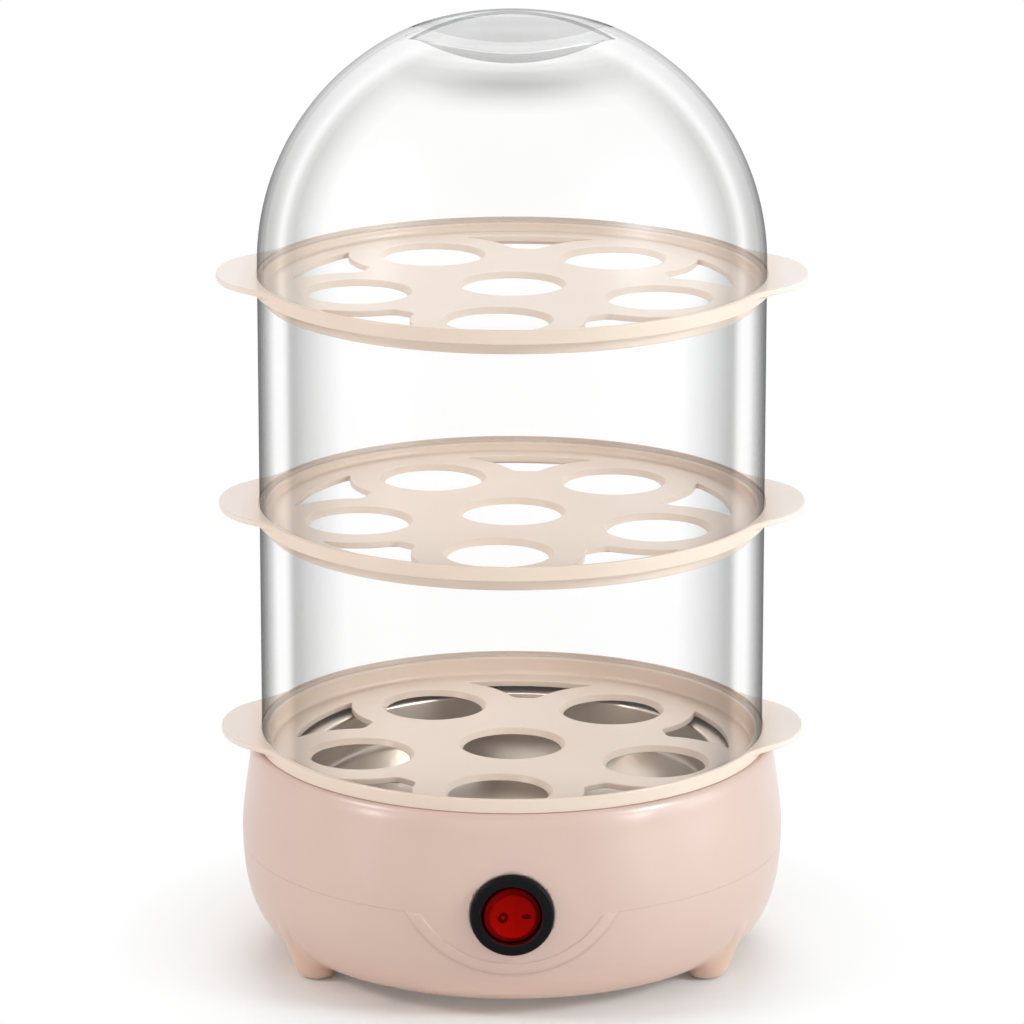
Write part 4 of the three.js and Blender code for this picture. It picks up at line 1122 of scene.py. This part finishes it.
def onto_body(place):
    """The nearest place on the base's outside, and the outward normal there."""
    flat = Vector((math.hypot(place[0], place[1]), place[2]))
    best = None
    for low, high in zip(BODY, BODY[1:]):
        along = high - low
        share = min(1.0, max(0.0, (flat - low).dot(along) / along.length_squared))
        near = low + along * share
        gap = (flat - near).length
        if best is None or gap < best[0]:
            best = (gap, near, Vector((along.y, -along.x)).normalized())
    _, near, normal = best
    if flat.x < BOTTOM_RADIUS:
        near, normal = Vector((flat.x, BOTTOM_HEIGHT)), Vector((0, -1))
    scale = near.x / flat.x
    spot = Vector((place[0] * scale, place[1] * scale, near.y))
    outward = Vector((place[0] / flat.x * normal.x, place[1] / flat.x * normal.x, normal.y))
    return spot, outward


def in_body(place):
    spot, outward = onto_body(place)
    return (place - spot).dot(outward) < 0


def foot(degrees):
    """A foot that leans outwards and flows into the flank."""
    def surface(turn, height, radius):
        x = FOOT_RING + FOOT_LEAN * height + radius * math.cos(turn)
        return Vector((x, radius * math.sin(turn), height))

    rows = []
    for k in range(FOOT_SIDES):
        turn = 2 * math.pi * k / FOOT_SIDES
        outline = [Vector(p) for p in FOOT_OUTLINE[:5]]
        side = bezier([FOOT_OUTLINE[4], FOOT_OUTLINE[5], FOOT_OUTLINE[6]], 80)
        path = [surface(turn, p.y, p.x) for p in side]
        hit = next((i for i, p in enumerate(path) if in_body(p)), len(path) - 1)
        meet = path[hit]
        back = hit
        while back > 0 and (path[back] - meet).length < FOOT_BLEND * 0.8:
            back -= 1
        start = path[back]
        spot, outward = onto_body(meet)
        tangent = (meet - Vector((FOOT_RING + FOOT_LEAN * meet.z, 0, meet.z)))
        tangent = (tangent - outward * tangent.dot(outward)).normalized()
        end, normal = onto_body(spot + tangent * FOOT_BLEND)
        row = [surface(turn, p.y, p.x) for p in outline]
        row += [path[round(back * j / 6)] for j in range(1, 7)]
        row += bezier([start, spot, end - normal * 0.05], 12)[1:]
        spin = Matrix.Rotation(math.radians(degrees), 3, "Z")
        rows.append([spin @ p for p in row])
    return skin(rows, close_rows=False)


# Switch, plate and small pieces

def switch():
    section = soften([
        (0.0, BARREL_REAR, 0),
        (BARREL_RADIUS, BARREL_REAR, 0.6),
        (BARREL_RADIUS, SWITCH_BACK, 0),
        (BEZEL_RADIUS, SWITCH_BACK, 0.3),
        (BEZEL_RADIUS, SWITCH_FRONT, 1.3),
        (WELL_IN_SWITCH, SWITCH_FRONT, 0.9),
        (WELL_IN_SWITCH, SWITCH_FRONT - SWITCH_WELL_DEPTH, 0.3),
        (0.0, SWITCH_FRONT - SWITCH_WELL_DEPTH, 0),
    ], steps=6, closed=False)
    vertices, faces = revolve(section, 96, closed=False)
    piece(
        "switch_case", [(forward(vertices, SWITCH_HEIGHT), faces)],
        BLACK, "base", ["switch_body"],
    )


def rocker_front(x):
    """How far the rocker's face stands before its pivot, at a place across it."""
    soft = 0.5
    slope = math.tan(math.radians(ROCKER_THROW / 2))
    return ROCKER_SET + (math.hypot(x, soft) - soft) * slope


def rocker_place(x, z, ahead):
    """From the rocker's own axes to the cooker's, at rest."""
    turn = Matrix.Rotation(math.radians(ROCKER_THROW / 2), 3, "Z")
    return turn @ Vector((x, -ahead, z)) + Vector((0, -ROCKER_PIVOT, SWITCH_HEIGHT))


ROCKER_TABLE = soften([  # radius, height against the face, reach of the rounding
    (0.0, 0.0, 0), (6.9, 0.0, 0.35), (7.3, -1.3, 0.3), (8.5, -1.7, 0.3), (ROCKER_RADIUS, -2.4, 0),
], closed=False)


def rocker():
    """A disc with a raised table, whose two halves meet in a shallow valley."""
    rows = []
    for i in range(72):
        turn = 2 * math.pi * i / 72
        row = []
        for radius, rise in [(2.0 * k, 0.0) for k in range(3)] + ROCKER_TABLE[1:]:
            x, z = radius * math.cos(turn), radius * math.sin(turn)
            row.append(rocker_place(x, z, rocker_front(x) + rise))
        x, z = ROCKER_RADIUS * math.cos(turn), ROCKER_RADIUS * math.sin(turn)
        row.append(rocker_place(x, z, -0.5))
        row.append(rocker_place(x * 0.6, z * 0.6, -5.0))
        row.append(rocker_place(0, 0, -5.5))
        rows.append(row)
    disc = skin(rows, close_rows=False)
    piece("rocker", [disc], RED, "switch_rocker", ["switch_rocker"])
    marks()


def marks():
    """The generic off and on marks: a ring on the left, a bar on the right."""
    def row_of(place_at):
        """A row of the skin, from a function that gives (x, z) by the cosine of the roll."""
        row = []
        for k in range(10):
            roll = 2 * math.pi * k / 10
            x, z = place_at(math.cos(roll))
            row.append(rocker_place(x, z, rocker_front(x) + MARK_RISE * math.sin(roll)))
        return row

    def ring_row(turn):
        across, middle, half = OFF_MARK
        return row_of(lambda out: (
            across + (middle + half * out) * math.cos(turn), (middle + half * out) * math.sin(turn),
        ))

    def bar_row(share):
        across, up, length, half = ON_MARK
        taper = math.sqrt(max(0.02, 1 - share ** 4))
        return row_of(lambda out: (across + length * share, half * taper * out + up))

    ring = skin([ring_row(2 * math.pi * i / 40) for i in range(40)])
    bar = skin([bar_row(i / 6 - 1) for i in range(13)], close_round=False)
    piece("rocker_marks", [ring, bar], MARK, "switch_rocker")


def heating_plate():
    wide = DISH_RADIUS + DISH_DRAFT
    top = FLANGE_LOW + PLATE_THICK
    section = soften([
        (0.0, DISH_FLOOR - PLATE_THICK, 0),
        (DISH_RADIUS + PLATE_THICK, DISH_FLOOR - PLATE_THICK, 3.4),
        (wide + PLATE_THICK, FLANGE_LOW, 0.4),
        (FLANGE_RADIUS, FLANGE_LOW, 0.3),
        (FLANGE_RADIUS, top, 0.3),
        (wide, top, 1.2),
        (DISH_RADIUS, DISH_FLOOR, 2.6),
        (0.0, DISH_FLOOR, 0),
    ], steps=6, closed=False)
    piece("dish", [revolve(section, closed=False)], STEEL, "base", ["heating_plate"])


def pads():
    section = soften([
        (0.0, 0.0, 0), (PAD_RADIUS, 0.0, 0.35), (PAD_RADIUS, PAD_THICK, 0.2), (0.0, PAD_THICK, 0),
    ], closed=False)
    vertices, faces = revolve(section, 40, closed=False)
    for name, angle in zip(("right", "back", "left"), FOOT_ANGLES):
        x, y = polar(FOOT_RING, angle)
        part = [(vx + x, vy + y, vz) for vx, vy, vz in vertices], faces
        piece(name + "_pad", [part], PALE_RUBBER, "base", ["foot_pad_" + name])


def grommet():
    back, front = INLET_BACK - FIT_GAP, INLET_FACE + FIT_GAP
    section = soften([
        (INLET_BORE, back - INLET_THICK, 0.3),
        (INLET_FLANGE, back - INLET_THICK, 0.5),
        (INLET_FLANGE, back, 0.2),
        (INLET_NECK, back, 0),
        (INLET_NECK, front, 0),
        (INLET_FLANGE, front, 0.2),
        (INLET_FLANGE, front + INLET_THICK, 0.8),
        (INLET_BORE, front + INLET_THICK, 0.6),
    ])
    vertices, faces = revolve(section, 64)
    piece(
        "inlet_grommet", [(backward(vertices, INLET_HEIGHT), faces)],
        DARK_RUBBER, "base", ["cord_inlet_grommet"],
    )


# Stage

CAMERA_DISTANCE = 1.879
CAMERA_PITCH = 15.05
CAMERA_TARGET = 0.14283
CAMERA_LENS = 208.23
CAMERA_SENSOR = 36.0
WORLD_LIGHT = 0.42
FLOOR_HALF = 12.0  # metres
LIGHTS = (  # name, azimuth, elevation, distance, size, power, colour
    ("key", 65, 27, 1.8, 0.4, 14.5, (0.82, 0.95, 1.0)),
    ("sheen", 85, 8, 1.8, 0.8, 6.5, (0.88, 0.97, 1.0)),
    ("fill", -72, 34, 1.8, 0.4, 9),
    ("front", -10, 9, 2.0, 1.2, 3.6),
    ("top", 0, 86, 1.4, 1.2, 1.5),
    ("back", 180, 42, 1.8, 1.0, 9),
    ("right_glint", 55, 7, 1.8, 0.2, 4.4),
    ("left_glint", -61, 8, 1.8, 0.2, 4.5),
)


def camera():
    data = bpy.data.cameras.new("camera")
    data.lens = CAMERA_LENS
    data.sensor_width = CAMERA_SENSOR
    data.clip_end = 50
    holder = placed("camera", data)
    pitch = math.radians(CAMERA_PITCH)
    holder.location = (
        0,
        -CAMERA_DISTANCE * math.cos(pitch),
        CAMERA_TARGET + CAMERA_DISTANCE * math.sin(pitch),
    )
    holder.rotation_euler = (math.pi / 2 - pitch, 0, 0)
    bpy.context.scene.camera = holder


def softbox(name, azimuth, elevation, distance, size, power, colour=(1, 1, 1)):
    """A square light aimed at the cooker; azimuth is from the front, towards the right."""
    data = bpy.data.lights.new(name, "AREA")
    data.shape = "SQUARE"
    data.size = size
    data.energy = power
    data.color = colour
    holder = placed(name, data)
    turn, rise = math.radians(azimuth), math.radians(elevation)
    way = Vector((
        math.sin(turn) * math.cos(rise), -math.cos(turn) * math.cos(rise), math.sin(rise),
    ))
    holder.location = Vector((0, 0, 0.1)) + way * distance
    holder.rotation_euler = way.to_track_quat("Z", "Y").to_euler()


def world():
    """A white backdrop and reflections, and a weaker light on the surfaces."""
    sky = Finish(bpy.data.worlds.new("studio"))
    seen = sky.shader("ShaderNodeBackground", {"Color": (1, 1, 1), "Strength": 1.0})
    lit = sky.shader("ShaderNodeBackground", {"Color": (1, 0.99, 0.98), "Strength": WORLD_LIGHT})
    ray = sky.node("ShaderNodeLightPath").outputs
    straight, mirrored, through = [
        Value(sky, ray[kind]) for kind in ("Is Camera Ray", "Is Glossy Ray", "Is Transmission Ray")
    ]
    both = sky.shader("ShaderNodeMixShader", {0: straight + mirrored + through, 1: lit, 2: seen})
    bpy.context.scene.world = sky.done(both, "ShaderNodeOutputWorld")


def floor():
    """A pale floor that turns plain white, as the camera sees it, away from the cooker."""
    corners = ((-1, -1), (1, -1), (1, 1), (-1, 1))
    mesh = bpy.data.meshes.new("floor")
    mesh.from_pydata([(x * FLOOR_HALF, y * FLOOR_HALF, 0) for x, y in corners], [], [(0, 1, 2, 3)])
    finish = Finish(bpy.data.materials.new("floor_white"))
    clouds = finish.noise(3.0, 2.0)
    spot = finish.value(
        "ShaderNodeVectorMath", "Value", {"operation": "LENGTH"}, {0: finish.place()},
    )
    seen = finish.value("ShaderNodeLightPath", "Is Camera Ray")
    # Close under the cooker's front, a little painted light lifts the floor's shadow; away from the
    # cooker the floor turns plain white to the camera.
    white = finish.curve(spot, [
        (0.055, 0.15), (0.072, 0.0), (0.085, 0.0), (0.105, 0.5), (0.13, 1.0),
    ])
    lit = finish.principled(
        Base_Color=finish.mix(clouds, (0.90, 0.90, 0.90), (0.92, 0.92, 0.92)),
        Roughness=0.5,
        Specular_IOR_Level=0.3,
    )
    glow = finish.shader("ShaderNodeEmission", {"Color": (1, 1, 1), "Strength": 1.0})
    both = finish.shader("ShaderNodeMixShader", {0: white * seen, 1: lit, 2: glow})
    mesh.materials.append(finish.done(both))
    placed("floor", mesh)


def finish_nodes():
    """Gives each CAD node the finish of its slot."""
    for entry in frame["record"]["subparts"]:
        for place in frame["nodes"][entry["node"]].material_slots:
            place.material = CAD_FINISHES[entry["material_slot"]]


bpy.context.scene.view_settings.view_transform = "Standard"
camera()
world()
floor()
for setting in LIGHTS:
    softbox(*setting)

for tier in RIM_HEIGHTS:
    tray(tier)
clear_wall("lower", "bottom", "middle")
clear_wall("upper", "middle", "top")
dome()
housings()
switch()
rocker()
heating_plate()
pads()
grommet()
finish_nodes()
